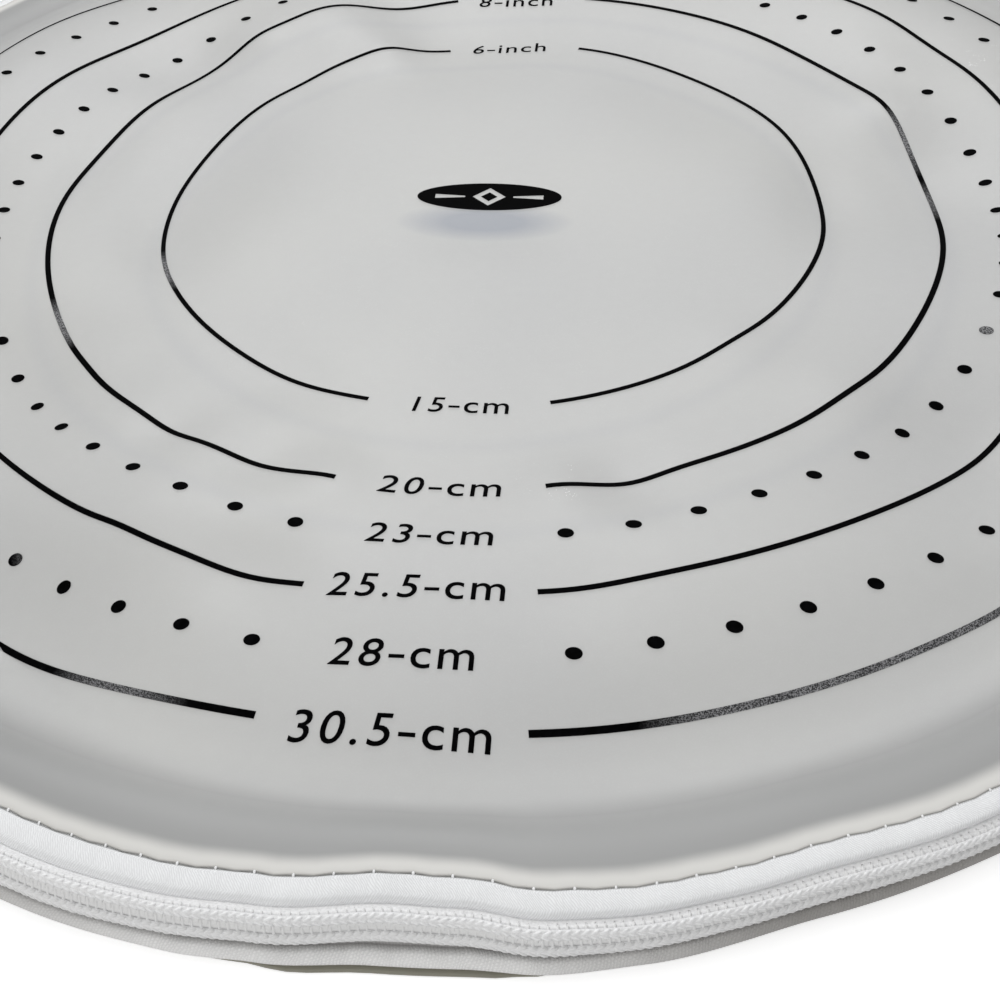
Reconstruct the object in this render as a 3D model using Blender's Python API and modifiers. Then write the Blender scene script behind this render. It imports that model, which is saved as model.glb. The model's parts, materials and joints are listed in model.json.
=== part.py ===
"""Dough rolling bag: two round films joined by a coil zipper round the rim and by a fabric hinge at the back.

Metres, +Z up. The origin is under the middle of the bag, on the surface it lies on, and the front is at -Y.
A place on the rim is given by its bearing: 0 degrees at the front, 90 at +X, 180 at the back.
On the chain, x runs along the rim, y climbs towards the top film and n points out of the bag.
"""

import math

import bmesh
import bpy
from mathutils import Matrix, Vector

MM = 0.001

# Room between pieces that lie on each other, and between pieces that slide.
REST_GAP = 0.3 * MM
RUNNING_GAP = 0.4 * MM

# The two films. The top film hangs a little below its seam, sags in the middle, stands up in a ring round
# the sag and dips into a valley inside the seam.
FILM_THICKNESS = 0.4 * MM
TOP_FILM_RADIUS = 178.5 * MM
TOP_FILM_HEIGHT = 10.5 * MM
FILM_HANG = 0.3 * MM
FILM_SAG = 0.6 * MM
SAG_REACH = 70 * MM
FILM_CREST = 0.8 * MM
CREST_INSET = 58.5 * MM
CREST_REACH = 26 * MM
FILM_VALLEY = 2.6 * MM
VALLEY_INSET = 15.5 * MM
VALLEY_REACH = 11 * MM
SEAM_EASE = 12 * MM
FILM_MARGIN = 1.2 * MM

# The soft swells and dips of the free film. Each has its bearing, its place as a share of the film's radius,
# its reach in degrees of bearing and along the radius, and its height.
FILM_SWELLS = [
    (15, 0.70, 22, 22 * MM, 3.2 * MM),
    (-22, 0.66, 16, 22 * MM, 2.8 * MM),
    (-31, 0.845, 11, 17 * MM, -8.0 * MM),
    (53, 0.72, 13, 26 * MM, -5.8 * MM),
    (-52, 0.67, 11, 20 * MM, -5.5 * MM),
    (96, 0.57, 16, 21 * MM, -6.0 * MM),
    (-100, 0.415, 24, 20 * MM, -4.5 * MM),
    (-108, 0.79, 15, 17 * MM, 4.8 * MM),
    (-148, 0.555, 10, 20 * MM, 4.0 * MM),
    (-125, 0.615, 10, 17 * MM, -3.4 * MM),
    (-170, 0.435, 20, 24 * MM, -2.8 * MM),
    (128, 0.74, 23, 18 * MM, 3.4 * MM),
    (138, 0.415, 30, 22 * MM, -3.0 * MM),
    (32, 0.865, 14, 14 * MM, -2.2 * MM),
]

# The woven zipper tapes, and where the chain lies between them: out from the top film's edge,
# down from its height, and in from the seam on the bottom film.
TAPE_THICKNESS = 0.5 * MM
SEAM_ALLOWANCE = 4 * MM
RIM_FOLD = 0.5 * MM
CHAIN_OUT = 5.3 * MM
CHAIN_DROP = 4.25 * MM
RIM_OUT = 4.2 * MM
CHAIN_SLOPE = math.radians(60)
HINGE_INSET = 2 * MM

# The coil chain. Three turns of the 1.3 mm coil are drawn as one tooth.
CHAIN_WIDTH = 5.8 * MM
COIL_HEIGHT = 1.65 * MM
COIL_PITCH = 1.3 * MM
TURNS_PER_TOOTH = 3
TOOTH_REACH = 0.55 * MM
TOOTH_GAP = 0.36 * MM
COIL_SHOULDER = 0.4 * MM
HEAD_CHAMFER = 0.3 * MM

# The cloth hinge takes this many degrees either side of the back. Lengths along the rim then give where
# the stops, the parked slider and the end of the flap lie.
HINGE_HALF_ANGLE = 12.2
TAPE_TAIL = 5.2 * MM
FLAP_ROOM = 5.5 * MM
END_TAB_WIDTH = 8 * MM
END_TAB_THICKNESS = 0.5 * MM

# The slider: two plates tapered at the nose, side flanges, the wedge between the plates and the bridge.
SLIDER_LENGTH = 11.5 * MM
OUTER_PLATE = 1.0 * MM
INNER_PLATE = 0.9 * MM
CORNER_RADIUS = 0.9 * MM
EDGE_CHAMFER = 0.2 * MM
NOSE_HALF_WIDTH = 2.5 * MM
NOSE_LENGTH = 1.4 * MM
SHOULDER_LENGTH = 3.2 * MM
INNER_NOSE_LENGTH = 1.1 * MM
FLANGE_THICKNESS = 0.65 * MM
FLANGE_FLARE = 0.65 * MM
FLANGE_INSET = 0.05 * MM
FLANGE_END = 0.3 * MM
FLANGE_CORNER = 0.3 * MM
WEDGE_HALF_WIDTH = 1.1 * MM
WEDGE_FRONT = 0.8 * MM
WEDGE_BACK = 0.35 * MM
WEDGE_SWELL = 1.4 * MM
WEDGE_LENGTH = 3.6 * MM
BRIDGE_LENGTH = 6.6 * MM
BRIDGE_WIDTH = 1.8 * MM
BRIDGE_THICKNESS = 0.8 * MM
BRIDGE_FOOT = 0.9 * MM
BRIDGE_CORNER = 1.2 * MM
BRIDGE_HOLLOW = 0.6 * MM

# The pull tab, from the eye round the bridge to the grip with its slot.
TAB_LENGTH = 21 * MM
TAB_THICKNESS = 1.0 * MM
TAB_LEG = 1.1 * MM
TAB_BAR = 1.0 * MM
TAB_CORNER = 1.4 * MM
TAB_EYE_CORNER = 0.4 * MM
TAB_GRIP_WIDTH = 6.0 * MM
TAB_GRIP_LENGTH = 9.5 * MM
TAB_END_WIDTH = 4.5 * MM
TAB_SLOT_WIDTH = 2.6 * MM
TAB_SLOT_LENGTH = 6.5 * MM
TAB_SLOT_MARGIN = 2.2 * MM

# The stops at the two ends of the chain.
STOP_LENGTH = 2.4 * MM
STOP_WALL = 0.55 * MM
STOP_WIDTH = 2.3 * MM

# Facets. The film's rings are shares of its free radius, inside the seam allowance.
FILM_STEPS = 60
RIM_STEPS = 96
FILM_RINGS = [0.2, 0.36, 0.49, 0.61, 0.73, 0.845, 0.93]
ARC_STEP = 4.0
ARC_POINTS = 4

# Places that follow from the sizes above.
FREE_RADIUS = TOP_FILM_RADIUS - SEAM_ALLOWANCE
CHAIN_RADIUS = TOP_FILM_RADIUS + CHAIN_OUT
CHAIN_HEIGHT = TOP_FILM_HEIGHT - CHAIN_DROP
RIM_RADIUS = CHAIN_RADIUS + RIM_OUT
BOTTOM_FILM_RADIUS = RIM_RADIUS + FILM_MARGIN
TOP_SEAM_Z = TOP_FILM_HEIGHT - FILM_THICKNESS / 2 - REST_GAP - TAPE_THICKNESS / 2
BOTTOM_SEAM_Z = FILM_THICKNESS + REST_GAP + TAPE_THICKNESS / 2
COIL_BASE = TAPE_THICKNESS / 2 + REST_GAP
COIL_TOP = COIL_BASE + COIL_HEIGHT
TAPE_EDGE = WEDGE_HALF_WIDTH + RUNNING_GAP
TAIL_CHANNEL = CHAIN_WIDTH / 2 + RUNNING_GAP
CHAIN_FLAT = TAIL_CHANNEL + FLANGE_THICKNESS + REST_GAP
PLATE_UNDER = COIL_TOP + RUNNING_GAP
PLATE_TOP = PLATE_UNDER + OUTER_PLATE
INNER_TOP = -TAPE_THICKNESS / 2 - RUNNING_GAP
TAB_AXIS = PLATE_TOP + RUNNING_GAP + TAB_THICKNESS / 2
BRIDGE_TOP = TAB_AXIS + TAB_THICKNESS / 2 + RUNNING_GAP + BRIDGE_THICKNESS
HINGE_Y = RIM_RADIUS - HINGE_INSET
HINGE_Z = (TOP_FILM_HEIGHT + FILM_THICKNESS) / 2 + REST_GAP

# Bearings of the zipper's parts, in degrees either side of the front.
TAPE_END = 180 - HINGE_HALF_ANGLE
PARKED = TAPE_END - math.degrees((TAPE_TAIL + STOP_LENGTH + RUNNING_GAP + SLIDER_LENGTH / 2) / CHAIN_RADIUS)
FLAP_END = PARKED - math.degrees((SLIDER_LENGTH / 2 + FLAP_ROOM) / CHAIN_RADIUS)


def clear_scene():
    for obj in list(bpy.data.objects):
        bpy.data.objects.remove(obj, do_unlink=True)


def collection(name):
    made = bpy.data.collections.new(name)
    bpy.context.scene.collection.children.link(made)
    return made


def material(name, colour, roughness, metallic=0.0):
    made = bpy.data.materials.new(name)
    made.use_nodes = True
    shader = made.node_tree.nodes["Principled BSDF"]
    shader.inputs["Base Color"].default_value = (*colour, 1)
    shader.inputs["Roughness"].default_value = roughness
    shader.inputs["Metallic"].default_value = metallic
    return made


def add(name, data, finish, parent=None):
    """Puts a mesh or curve in the bag's collection, under its joint's empty."""
    data.materials.append(finish)
    obj = bpy.data.objects.new(name, data)
    PARTS.objects.link(obj)
    if parent:
        obj.parent = parent
        obj.matrix_parent_inverse = parent.matrix_world.inverted()
    return obj


def joint_axis(name, matrix):
    """An empty whose local Y lies along a joint's axis."""
    empty = bpy.data.objects.new(name, None)
    PARTS.objects.link(empty)
    empty.matrix_world = matrix
    bpy.context.view_layer.update()
    return empty


def bearing_of(length):
    """Degrees of rim that a length along the chain covers."""
    return math.degrees(length / CHAIN_RADIUS)


def chain_point(y, n):
    """Radius and height of a point of the chain's section."""
    return (
        CHAIN_RADIUS - y * math.cos(CHAIN_SLOPE) + n * math.sin(CHAIN_SLOPE),
        CHAIN_HEIGHT + y * math.sin(CHAIN_SLOPE) + n * math.cos(CHAIN_SLOPE),
    )


def chain_frame(bearing, x=0.0, y=0.0, n=0.0):
    """Matrix that puts a piece modelled in x, y and n on the chain at a bearing."""
    turn = Matrix.Rotation(math.radians(bearing), 4, "Z")
    radius, height = chain_point(y, n)
    place = Matrix.Translation(Vector((x, -radius, height)))
    lean = Matrix.Rotation(CHAIN_SLOPE, 4, "X")
    return turn @ place @ lean


def upper_section():
    """The upper tape from its edge under the top film to its edge at the chain."""
    return [
        (TOP_FILM_RADIUS - SEAM_ALLOWANCE, TOP_SEAM_Z),
        (TOP_FILM_RADIUS + RIM_FOLD, TOP_SEAM_Z),
        chain_point(CHAIN_FLAT, 0),
        chain_point(TAPE_EDGE, 0),
    ]


def lower_section():
    """The lower tape from its edge at the chain to its edge over the bottom film."""
    return [
        chain_point(-TAPE_EDGE, 0),
        chain_point(-CHAIN_FLAT, 0),
        (RIM_RADIUS, BOTTOM_SEAM_Z + RIM_FOLD),
        (RIM_RADIUS - RIM_FOLD, BOTTOM_SEAM_Z),
        (RIM_RADIUS - SEAM_ALLOWANCE, BOTTOM_SEAM_Z),
    ]


def offset_section(section, distance):
    """The same section moved out of the bag by a distance, with mitred corners."""
    points = [Vector(p) for p in section]
    normals = []
    for before, after in zip(points, points[1:]):
        along = (after - before).normalized()
        normals.append(Vector((-along.y, along.x)))
    moved = []
    for i, point in enumerate(points):
        first = normals[max(i - 1, 0)]
        second = normals[min(i, len(normals) - 1)]
        mitre = (first + second).normalized()
        moved.append(point + mitre * distance / mitre.dot(first))
    return moved


def turned_strip(name, section, start, end, thickness, finish, parent=None, steps=None):
    """A thin wall: a section turned about the bag's axis from one bearing to another."""
    mesh = bpy.data.meshes.new(name)
    edges = [(i, i + 1) for i in range(len(section) - 1)]
    mesh.from_pydata([(r, 0, z) for r, z in section], edges, [])
    obj = add(name, mesh, finish, parent)
    obj.rotation_euler.z = math.radians(start - 90)
    screw = obj.modifiers.new("Turn", "SCREW")
    screw.angle = math.radians(end - start)
    screw.steps = screw.render_steps = steps or max(2, round((end - start) / ARC_STEP))
    screw.use_merge_vertices = True
    screw.merge_threshold = 0.00001
    screw.use_smooth_shade = True
    wall = obj.modifiers.new("Wall", "SOLIDIFY")
    wall.thickness = thickness
    wall.offset = 0
    wall.use_even_offset = True
    return obj


def loft(name, sections, finish, parent=None):
    """A closed solid through sections that have the same number of points."""
    shape = bmesh.new()
    rings = [[shape.verts.new(p) for p in section] for section in sections]
    count = len(rings[0])
    for near, far in zip(rings, rings[1:]):
        for i in range(count):
            j = (i + 1) % count
            shape.faces.new((near[i], near[j], far[j], far[i]))
    shape.faces.new(rings[0])
    shape.faces.new(rings[-1])
    bmesh.ops.recalc_face_normals(shape, faces=shape.faces)
    mesh = bpy.data.meshes.new(name)
    shape.to_mesh(mesh)
    shape.free()
    return add(name, mesh, finish, parent)


def rounded(corners, radius):
    """An outline with each corner drawn as a short arc."""
    outline = []
    for i, corner in enumerate(corners):
        here = Vector(corner)
        back = Vector(corners[i - 1]) - here
        ahead = Vector(corners[(i + 1) % len(corners)]) - here
        reach = min(radius, back.length * 0.45, ahead.length * 0.45)
        first = here + back.normalized() * reach
        last = here + ahead.normalized() * reach
        for k in range(ARC_POINTS):
            t = k / (ARC_POINTS - 1)
            outline.append(first * (1 - t) ** 2 + here * 2 * t * (1 - t) + last * t ** 2)
    return outline


def flat_solid(name, outlines, low, high, axes="xyz", chamfer=0.0):
    """A flat plate cut to outlines, the first its edge and the rest holes, as a closed mesh."""
    curve = bpy.data.curves.new(name, "CURVE")
    curve.dimensions = "2D"
    curve.fill_mode = "BOTH"
    curve.extrude = (high - low) / 2 - chamfer
    curve.bevel_depth = chamfer
    curve.bevel_resolution = 0
    curve.offset = -chamfer
    for outline in outlines:
        spline = curve.splines.new("POLY")
        spline.points.add(len(outline) - 1)
        for point, place in zip(spline.points, outline):
            point.co = (place[0], place[1], 0, 1)
        spline.use_cyclic_u = True
    drawn = bpy.data.objects.new(name + "_drawn", curve)
    bpy.context.scene.collection.objects.link(drawn)
    bpy.context.view_layer.update()
    mesh = bpy.data.meshes.new_from_object(drawn.evaluated_get(bpy.context.evaluated_depsgraph_get()))
    bpy.data.objects.remove(drawn, do_unlink=True)
    shape = bmesh.new()
    shape.from_mesh(mesh)
    bmesh.ops.remove_doubles(shape, verts=shape.verts, dist=0.000001)
    bmesh.ops.translate(shape, verts=shape.verts, vec=(0, 0, (high + low) / 2))
    if axes == "xny":
        bmesh.ops.rotate(shape, verts=shape.verts, matrix=Matrix.Rotation(math.radians(90), 3, "X"))
    if axes == "ynx":
        quarter = Matrix.Rotation(math.radians(90), 3, "Z") @ Matrix.Rotation(math.radians(90), 3, "X")
        bmesh.ops.rotate(shape, verts=shape.verts, matrix=quarter)
    bmesh.ops.recalc_face_normals(shape, faces=shape.faces)
    shape.to_mesh(mesh)
    shape.free()
    return mesh


def joined(name, meshes, finish, parent, matrix):
    """One casting: the first mesh with the others united to it."""
    obj = add(name, meshes[0], finish)
    obj.matrix_world = matrix
    for i, mesh in enumerate(meshes[1:]):
        tool = bpy.data.objects.new(f"{name}_tool_{i}", mesh)
        CUTTERS.objects.link(tool)
        tool.matrix_world = matrix
        tool.hide_render = True
        tool.display_type = "WIRE"
        union = obj.modifiers.new(f"Union {i}", "BOOLEAN")
        union.operation = "UNION"
        union.object = tool
    obj.parent = parent
    obj.matrix_parent_inverse = parent.matrix_world.inverted()
    return obj


def mirrored(points):
    """A closed outline from the points of its +y half, along x."""
    return points + [(x, -y) for x, y in reversed(points)]


def eased(share):
    """A step from 0 to 1 that leaves and arrives level."""
    share = min(max(share, 0), 1)
    return share * share * (3 - 2 * share)


def bell(distance, reach):
    """A round hump that is 1 in its middle and fades past its reach."""
    return math.exp(-((distance / reach) ** 2))


def film_height(bearing, radius):
    """Height of the middle of the top film's thickness at a place on it."""
    lift = -FILM_SAG * bell(radius, SAG_REACH)
    lift += FILM_CREST * bell(radius - TOP_FILM_RADIUS + CREST_INSET, CREST_REACH)
    lift -= FILM_VALLEY * bell(radius - TOP_FILM_RADIUS + VALLEY_INSET, VALLEY_REACH)
    for at, share, turn, reach, height in FILM_SWELLS:
        apart = (bearing - at + 180) % 360 - 180
        lift += height * bell(apart, turn) * bell(radius - share * TOP_FILM_RADIUS, reach)
    hang = FILM_HANG * (1 - (min(radius, FREE_RADIUS) / FREE_RADIUS) ** 4)
    return TOP_FILM_HEIGHT - hang + lift * eased((FREE_RADIUS - radius) / SEAM_EASE)


def make_top_film(film, top_joint):
    """A round sheet spun from rings of points, laid in its swells and given its thickness."""
    shape = bmesh.new()
    radii = [0] + [share * FREE_RADIUS for share in FILM_RINGS] + [FREE_RADIUS, TOP_FILM_RADIUS]
    spoke = [shape.verts.new((0, -radius, 0)) for radius in radii]
    edges = [shape.edges.new(pair) for pair in zip(spoke, spoke[1:])]
    bmesh.ops.spin(
        shape, geom=spoke + edges, cent=(0, 0, 0), axis=(0, 0, 1), angle=math.radians(360),
        steps=FILM_STEPS, use_merge=True,
    )
    bmesh.ops.remove_doubles(shape, verts=shape.verts, dist=0.00001)
    for vert in shape.verts:
        bearing = math.degrees(math.atan2(vert.co.x, -vert.co.y))
        vert.co.z = film_height(bearing, math.hypot(vert.co.x, vert.co.y))
    bmesh.ops.recalc_face_normals(shape, faces=shape.faces)
    mesh = bpy.data.meshes.new("top_film")
    shape.to_mesh(mesh)
    shape.free()
    mesh.shade_smooth()
    sheet = add("top_film", mesh, film, top_joint)
    wall = sheet.modifiers.new("Wall", "SOLIDIFY")
    wall.thickness = FILM_THICKNESS
    wall.offset = 0


def make_films(film, top_joint):
    make_top_film(film, top_joint)
    disc = bmesh.new()
    bmesh.ops.create_cone(
        disc, cap_ends=True, segments=RIM_STEPS, radius1=BOTTOM_FILM_RADIUS,
        radius2=BOTTOM_FILM_RADIUS, depth=FILM_THICKNESS,
    )
    bmesh.ops.translate(disc, verts=disc.verts, vec=(0, 0, FILM_THICKNESS / 2))
    mesh = bpy.data.meshes.new("bottom_film")
    disc.to_mesh(mesh)
    disc.free()
    add("bottom_film", mesh, film)


def make_tapes(tape, binding, top_joint):
    split = FLAP_END + bearing_of(REST_GAP)
    turned_strip("upper_zipper_tape", upper_section(), -FLAP_END, FLAP_END, TAPE_THICKNESS, tape, top_joint)
    turned_strip("lower_zipper_tape", lower_section(), -TAPE_END, TAPE_END, TAPE_THICKNESS, tape)
    turned_strip("closed_end_tape", upper_section(), -TAPE_END, -split, TAPE_THICKNESS, tape)
    turned_strip("open_end_tape", upper_section(), split, TAPE_END, TAPE_THICKNESS, tape)
    start = TAPE_END + bearing_of(REST_GAP)
    section = upper_section()[:3] + lower_section()[1:]
    turned_strip("back_binding", section, start, 360 - start, TAPE_THICKNESS, binding)
    cover = [(TOP_FILM_RADIUS + RIM_FOLD, TOP_SEAM_Z)] + section[2:5]
    outside = offset_section(cover, TAPE_THICKNESS / 2 + REST_GAP + END_TAB_THICKNESS / 2)
    half = bearing_of(END_TAB_WIDTH) / 2
    for name, middle in (("closed_end_tab", -TAPE_END - half / 2), ("open_end_tab", TAPE_END + half / 2)):
        turned_strip(name, outside, middle - half, middle + half, END_TAB_THICKNESS, binding)


def parting(bearing):
    """Height on the chain of the zigzag line between the two rows of teeth."""
    turn = bearing / bearing_of(COIL_PITCH * TURNS_PER_TOOTH)
    return TOOTH_REACH * (4 * abs(turn - math.floor(turn + 0.5)) - 1)


def coil_row(name, start, end, side, coil, parent=None):
    """One row of the chain, with teeth that reach between the other row's. side is 1 above, -1 below."""
    half_tooth = bearing_of(COIL_PITCH * TURNS_PER_TOOTH) / 2
    first = math.floor(start / half_tooth) + 1
    last = math.ceil(end / half_tooth) - 1
    bearings = [start] + [k * half_tooth for k in range(first, last + 1)] + [end]
    sections = []
    for bearing in bearings:
        head = parting(bearing) + side * TOOTH_GAP / 2
        edge = side * CHAIN_WIDTH / 2
        section = [
            (edge, COIL_BASE),
            (edge - side * COIL_SHOULDER, COIL_TOP),
            (head + side * HEAD_CHAMFER, COIL_TOP),
            (head, COIL_BASE),
        ]
        turn = math.radians(bearing)
        ring = []
        for y, n in section:
            radius, height = chain_point(y, n)
            ring.append((radius * math.sin(turn), -radius * math.cos(turn), height))
        sections.append(ring)
    return loft(name, sections, coil, parent)


def slider_ends():
    """Bearings of the slider's wedge when it is parked shut, and of the chain's far end."""
    wedge = -PARKED - bearing_of(SLIDER_LENGTH / 2 - CORNER_RADIUS - WEDGE_LENGTH)
    tail = PARKED + bearing_of(SLIDER_LENGTH / 2 + RUNNING_GAP)
    return wedge, tail


def make_chain(coil, top_joint):
    wedge, tail = slider_ends()
    start = wedge + bearing_of(REST_GAP)
    split = FLAP_END + bearing_of(REST_GAP)
    coil_row("lower_coil", start, tail, -1, coil)
    coil_row("upper_coil", -FLAP_END, FLAP_END, 1, coil, top_joint)
    coil_row("closed_end_coil", start, -split, 1, coil)
    coil_row("open_end_coil", split, tail, 1, coil)


def clip(side):
    """Section of a stop that is folded over the edge of one tape."""
    slot = TAPE_THICKNESS / 2 + REST_GAP
    near = TAPE_EDGE - REST_GAP
    outer = [(near - STOP_WALL, -slot - STOP_WALL), (near - STOP_WALL + STOP_WIDTH, -slot - STOP_WALL)]
    outer += [(near - STOP_WALL + STOP_WIDTH, -slot), (near, -slot), (near, slot)]
    outer += [(near - STOP_WALL + STOP_WIDTH, slot), (near - STOP_WALL + STOP_WIDTH, slot + STOP_WALL)]
    outer += [(near - STOP_WALL, slot + STOP_WALL)]
    return [(side * y, n) for y, n in outer]


def make_stops(metal):
    past_slider = SLIDER_LENGTH / 2 + RUNNING_GAP
    for name, side in (("upper_top_stop", 1), ("lower_top_stop", -1)):
        mesh = flat_solid(name, [clip(side)], -STOP_LENGTH, 0, "ynx")
        stop = add(name, mesh, metal)
        stop.matrix_world = chain_frame(-PARKED - bearing_of(past_slider))
    slot = TAPE_THICKNESS / 2 + REST_GAP
    web = TAPE_EDGE - REST_GAP
    wide = CHAIN_WIDTH / 2
    half = [(web, -slot), (wide, -slot), (wide, -slot - STOP_WALL)]
    outline = half + [(-y, n) for y, n in reversed(half)]
    half = [(-web, slot), (-wide, slot), (-wide, COIL_TOP - REST_GAP)]
    outline += half + [(-y, n) for y, n in reversed(half)]
    mesh = flat_solid("bottom_stop", [outline], 0, STOP_LENGTH, "ynx")
    stop = add("bottom_stop", mesh, metal)
    stop.matrix_world = chain_frame(slider_ends()[1] + bearing_of(REST_GAP))


def slider_plates():
    """The outer plate with its shoulders, and the plain inner plate behind the tapes."""
    half = SLIDER_LENGTH / 2
    tail = TAIL_CHANNEL + FLANGE_THICKNESS
    shoulder = tail + FLANGE_FLARE
    shoulder_start = -half + NOSE_LENGTH
    plate = mirrored([(-half, NOSE_HALF_WIDTH), (shoulder_start, shoulder),
                      (shoulder_start + SHOULDER_LENGTH, shoulder), (half, tail)])
    inner = mirrored([(-half, NOSE_HALF_WIDTH), (-half + INNER_NOSE_LENGTH, tail), (half, tail)])
    return [
        flat_solid("plate", [rounded(plate, CORNER_RADIUS)], PLATE_UNDER, PLATE_TOP, chamfer=EDGE_CHAMFER),
        flat_solid("inner", [rounded(inner, CORNER_RADIUS)], INNER_TOP - INNER_PLATE, INNER_TOP,
                   chamfer=EDGE_CHAMFER),
    ]


def slider_wedge(buried_top):
    """The post that parts the two rows, inside the slider's nose."""
    start = -SLIDER_LENGTH / 2 + CORNER_RADIUS
    outline = mirrored([(start, WEDGE_FRONT), (start + WEDGE_SWELL, WEDGE_HALF_WIDTH),
                        (start + WEDGE_LENGTH, WEDGE_BACK)])
    return flat_solid("wedge", [rounded(outline, CORNER_RADIUS)], INNER_TOP - INNER_PLATE / 2, buried_top)


def slider_flange(side, buried_top):
    """The wall under one edge of the outer plate that guides a row of the chain."""
    start = -SLIDER_LENGTH / 2 + NOSE_LENGTH + SHOULDER_LENGTH
    end = SLIDER_LENGTH / 2 - FLANGE_END
    outer = TAIL_CHANNEL + FLANGE_THICKNESS - FLANGE_INSET
    outline = [(start, outer + FLANGE_FLARE), (end, outer), (end, TAIL_CHANNEL),
               (start, TAIL_CHANNEL + FLANGE_FLARE)]
    edge = rounded([(x, side * y) for x, y in outline], FLANGE_CORNER)
    return flat_solid("flange", [edge], TAPE_THICKNESS / 2 + RUNNING_GAP, buried_top)


def slider_bridge(buried_top):
    """The arch on the outer plate that the pull tab hangs in."""
    def arch_line(reach, top, radius):
        corners = [(-reach, buried_top), (reach, buried_top), (reach, top), (-reach, top)]
        round_top = rounded(corners, radius)[ARC_POINTS * 2:]
        return [Vector(corners[1])] + round_top + [Vector(corners[0])]

    reach = BRIDGE_LENGTH / 2
    outside = arch_line(reach, BRIDGE_TOP, BRIDGE_CORNER)
    inside = arch_line(reach - BRIDGE_FOOT, BRIDGE_TOP - BRIDGE_THICKNESS, BRIDGE_HOLLOW)
    outline = outside + inside[::-1]
    return flat_solid("bridge", [outline], -BRIDGE_WIDTH / 2, BRIDGE_WIDTH / 2, "xny", EDGE_CHAMFER)


def make_slider(metal, slider_joint):
    buried_top = PLATE_UNDER + OUTER_PLATE / 2
    meshes = slider_plates() + [slider_wedge(buried_top), slider_bridge(buried_top)]
    meshes += [slider_flange(side, buried_top) for side in (1, -1)]
    return joined("slider_body", meshes, metal, slider_joint, chain_frame(-PARKED))


def make_pull_tab(metal, tab_joint):
    """The tab lies back towards the hinge, with its bar under the slider's bridge."""
    leg_inside = BRIDGE_WIDTH / 2 + RUNNING_GAP
    leg_outside = leg_inside + TAB_LEG
    eye = math.hypot(BRIDGE_LENGTH / 2, BRIDGE_TOP - TAB_AXIS) + REST_GAP
    bar = TAB_BAR / 2
    grip = TAB_GRIP_WIDTH / 2
    edge = mirrored([(bar, leg_outside), (-eye, leg_outside), (-TAB_LENGTH + TAB_GRIP_LENGTH, grip),
                     (-TAB_LENGTH, TAB_END_WIDTH / 2)])
    eye_hole = mirrored([(-bar, leg_inside), (-eye, leg_inside)])
    slot_end = -TAB_LENGTH + TAB_SLOT_MARGIN
    slot = mirrored([(slot_end + TAB_SLOT_LENGTH, TAB_SLOT_WIDTH / 2), (slot_end, TAB_SLOT_WIDTH / 2)])
    outlines = [rounded(edge, TAB_CORNER), rounded(eye_hole, TAB_EYE_CORNER), rounded(slot, TAB_SLOT_WIDTH)]
    mesh = flat_solid("pull_tab", outlines, -TAB_THICKNESS / 2, TAB_THICKNESS / 2, chamfer=EDGE_CHAMFER)
    tab = add("pull_tab", mesh, metal)
    tab.matrix_world = tab_joint.matrix_world
    tab.parent = tab_joint
    tab.matrix_parent_inverse = tab_joint.matrix_world.inverted()


def main():
    film = material("clear_film", (0.60, 0.60, 0.59), 0.28)
    tape = material("woven_tape", (0.83, 0.84, 0.85), 0.85)
    binding = material("binding_cloth", (0.80, 0.80, 0.80), 0.9)
    coil = material("nylon_coil", (0.70, 0.70, 0.69), 0.4)
    metal = material("coated_zinc", (0.72, 0.72, 0.73), 0.35, 0.9)
    top_joint = joint_axis("top_hinge", Matrix.Translation((0, HINGE_Y, HINGE_Z)))
    slider_joint = joint_axis("slider_centre", Matrix.Identity(4))
    tab_joint = joint_axis("tab_pivot", chain_frame(-PARKED, n=TAB_AXIS))
    tab_joint.parent = slider_joint
    make_films(film, top_joint)
    make_tapes(tape, binding, top_joint)
    make_chain(coil, top_joint)
    make_stops(metal)
    make_slider(metal, slider_joint)
    make_pull_tab(metal, tab_joint)


clear_scene()
PARTS = collection("dough_rolling_bag")
CUTTERS = collection("cutters")
main()
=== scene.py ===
"""The looks of a round dough rolling bag, drawn on its frame in metres, +Z up and with the front at -Y.

A place on the bag has a bearing (0 degrees at the front, 90 at +X, 180 at the back), a radius and a height.
On the chain, x runs along the rim, y climbs towards the top film and n points out of the bag.
Shapes are worked out in millimetres and written into the meshes in metres.
"""

import json
import math

import bmesh
import bpy
import numpy as np
from mathutils import Matrix, Vector

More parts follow.
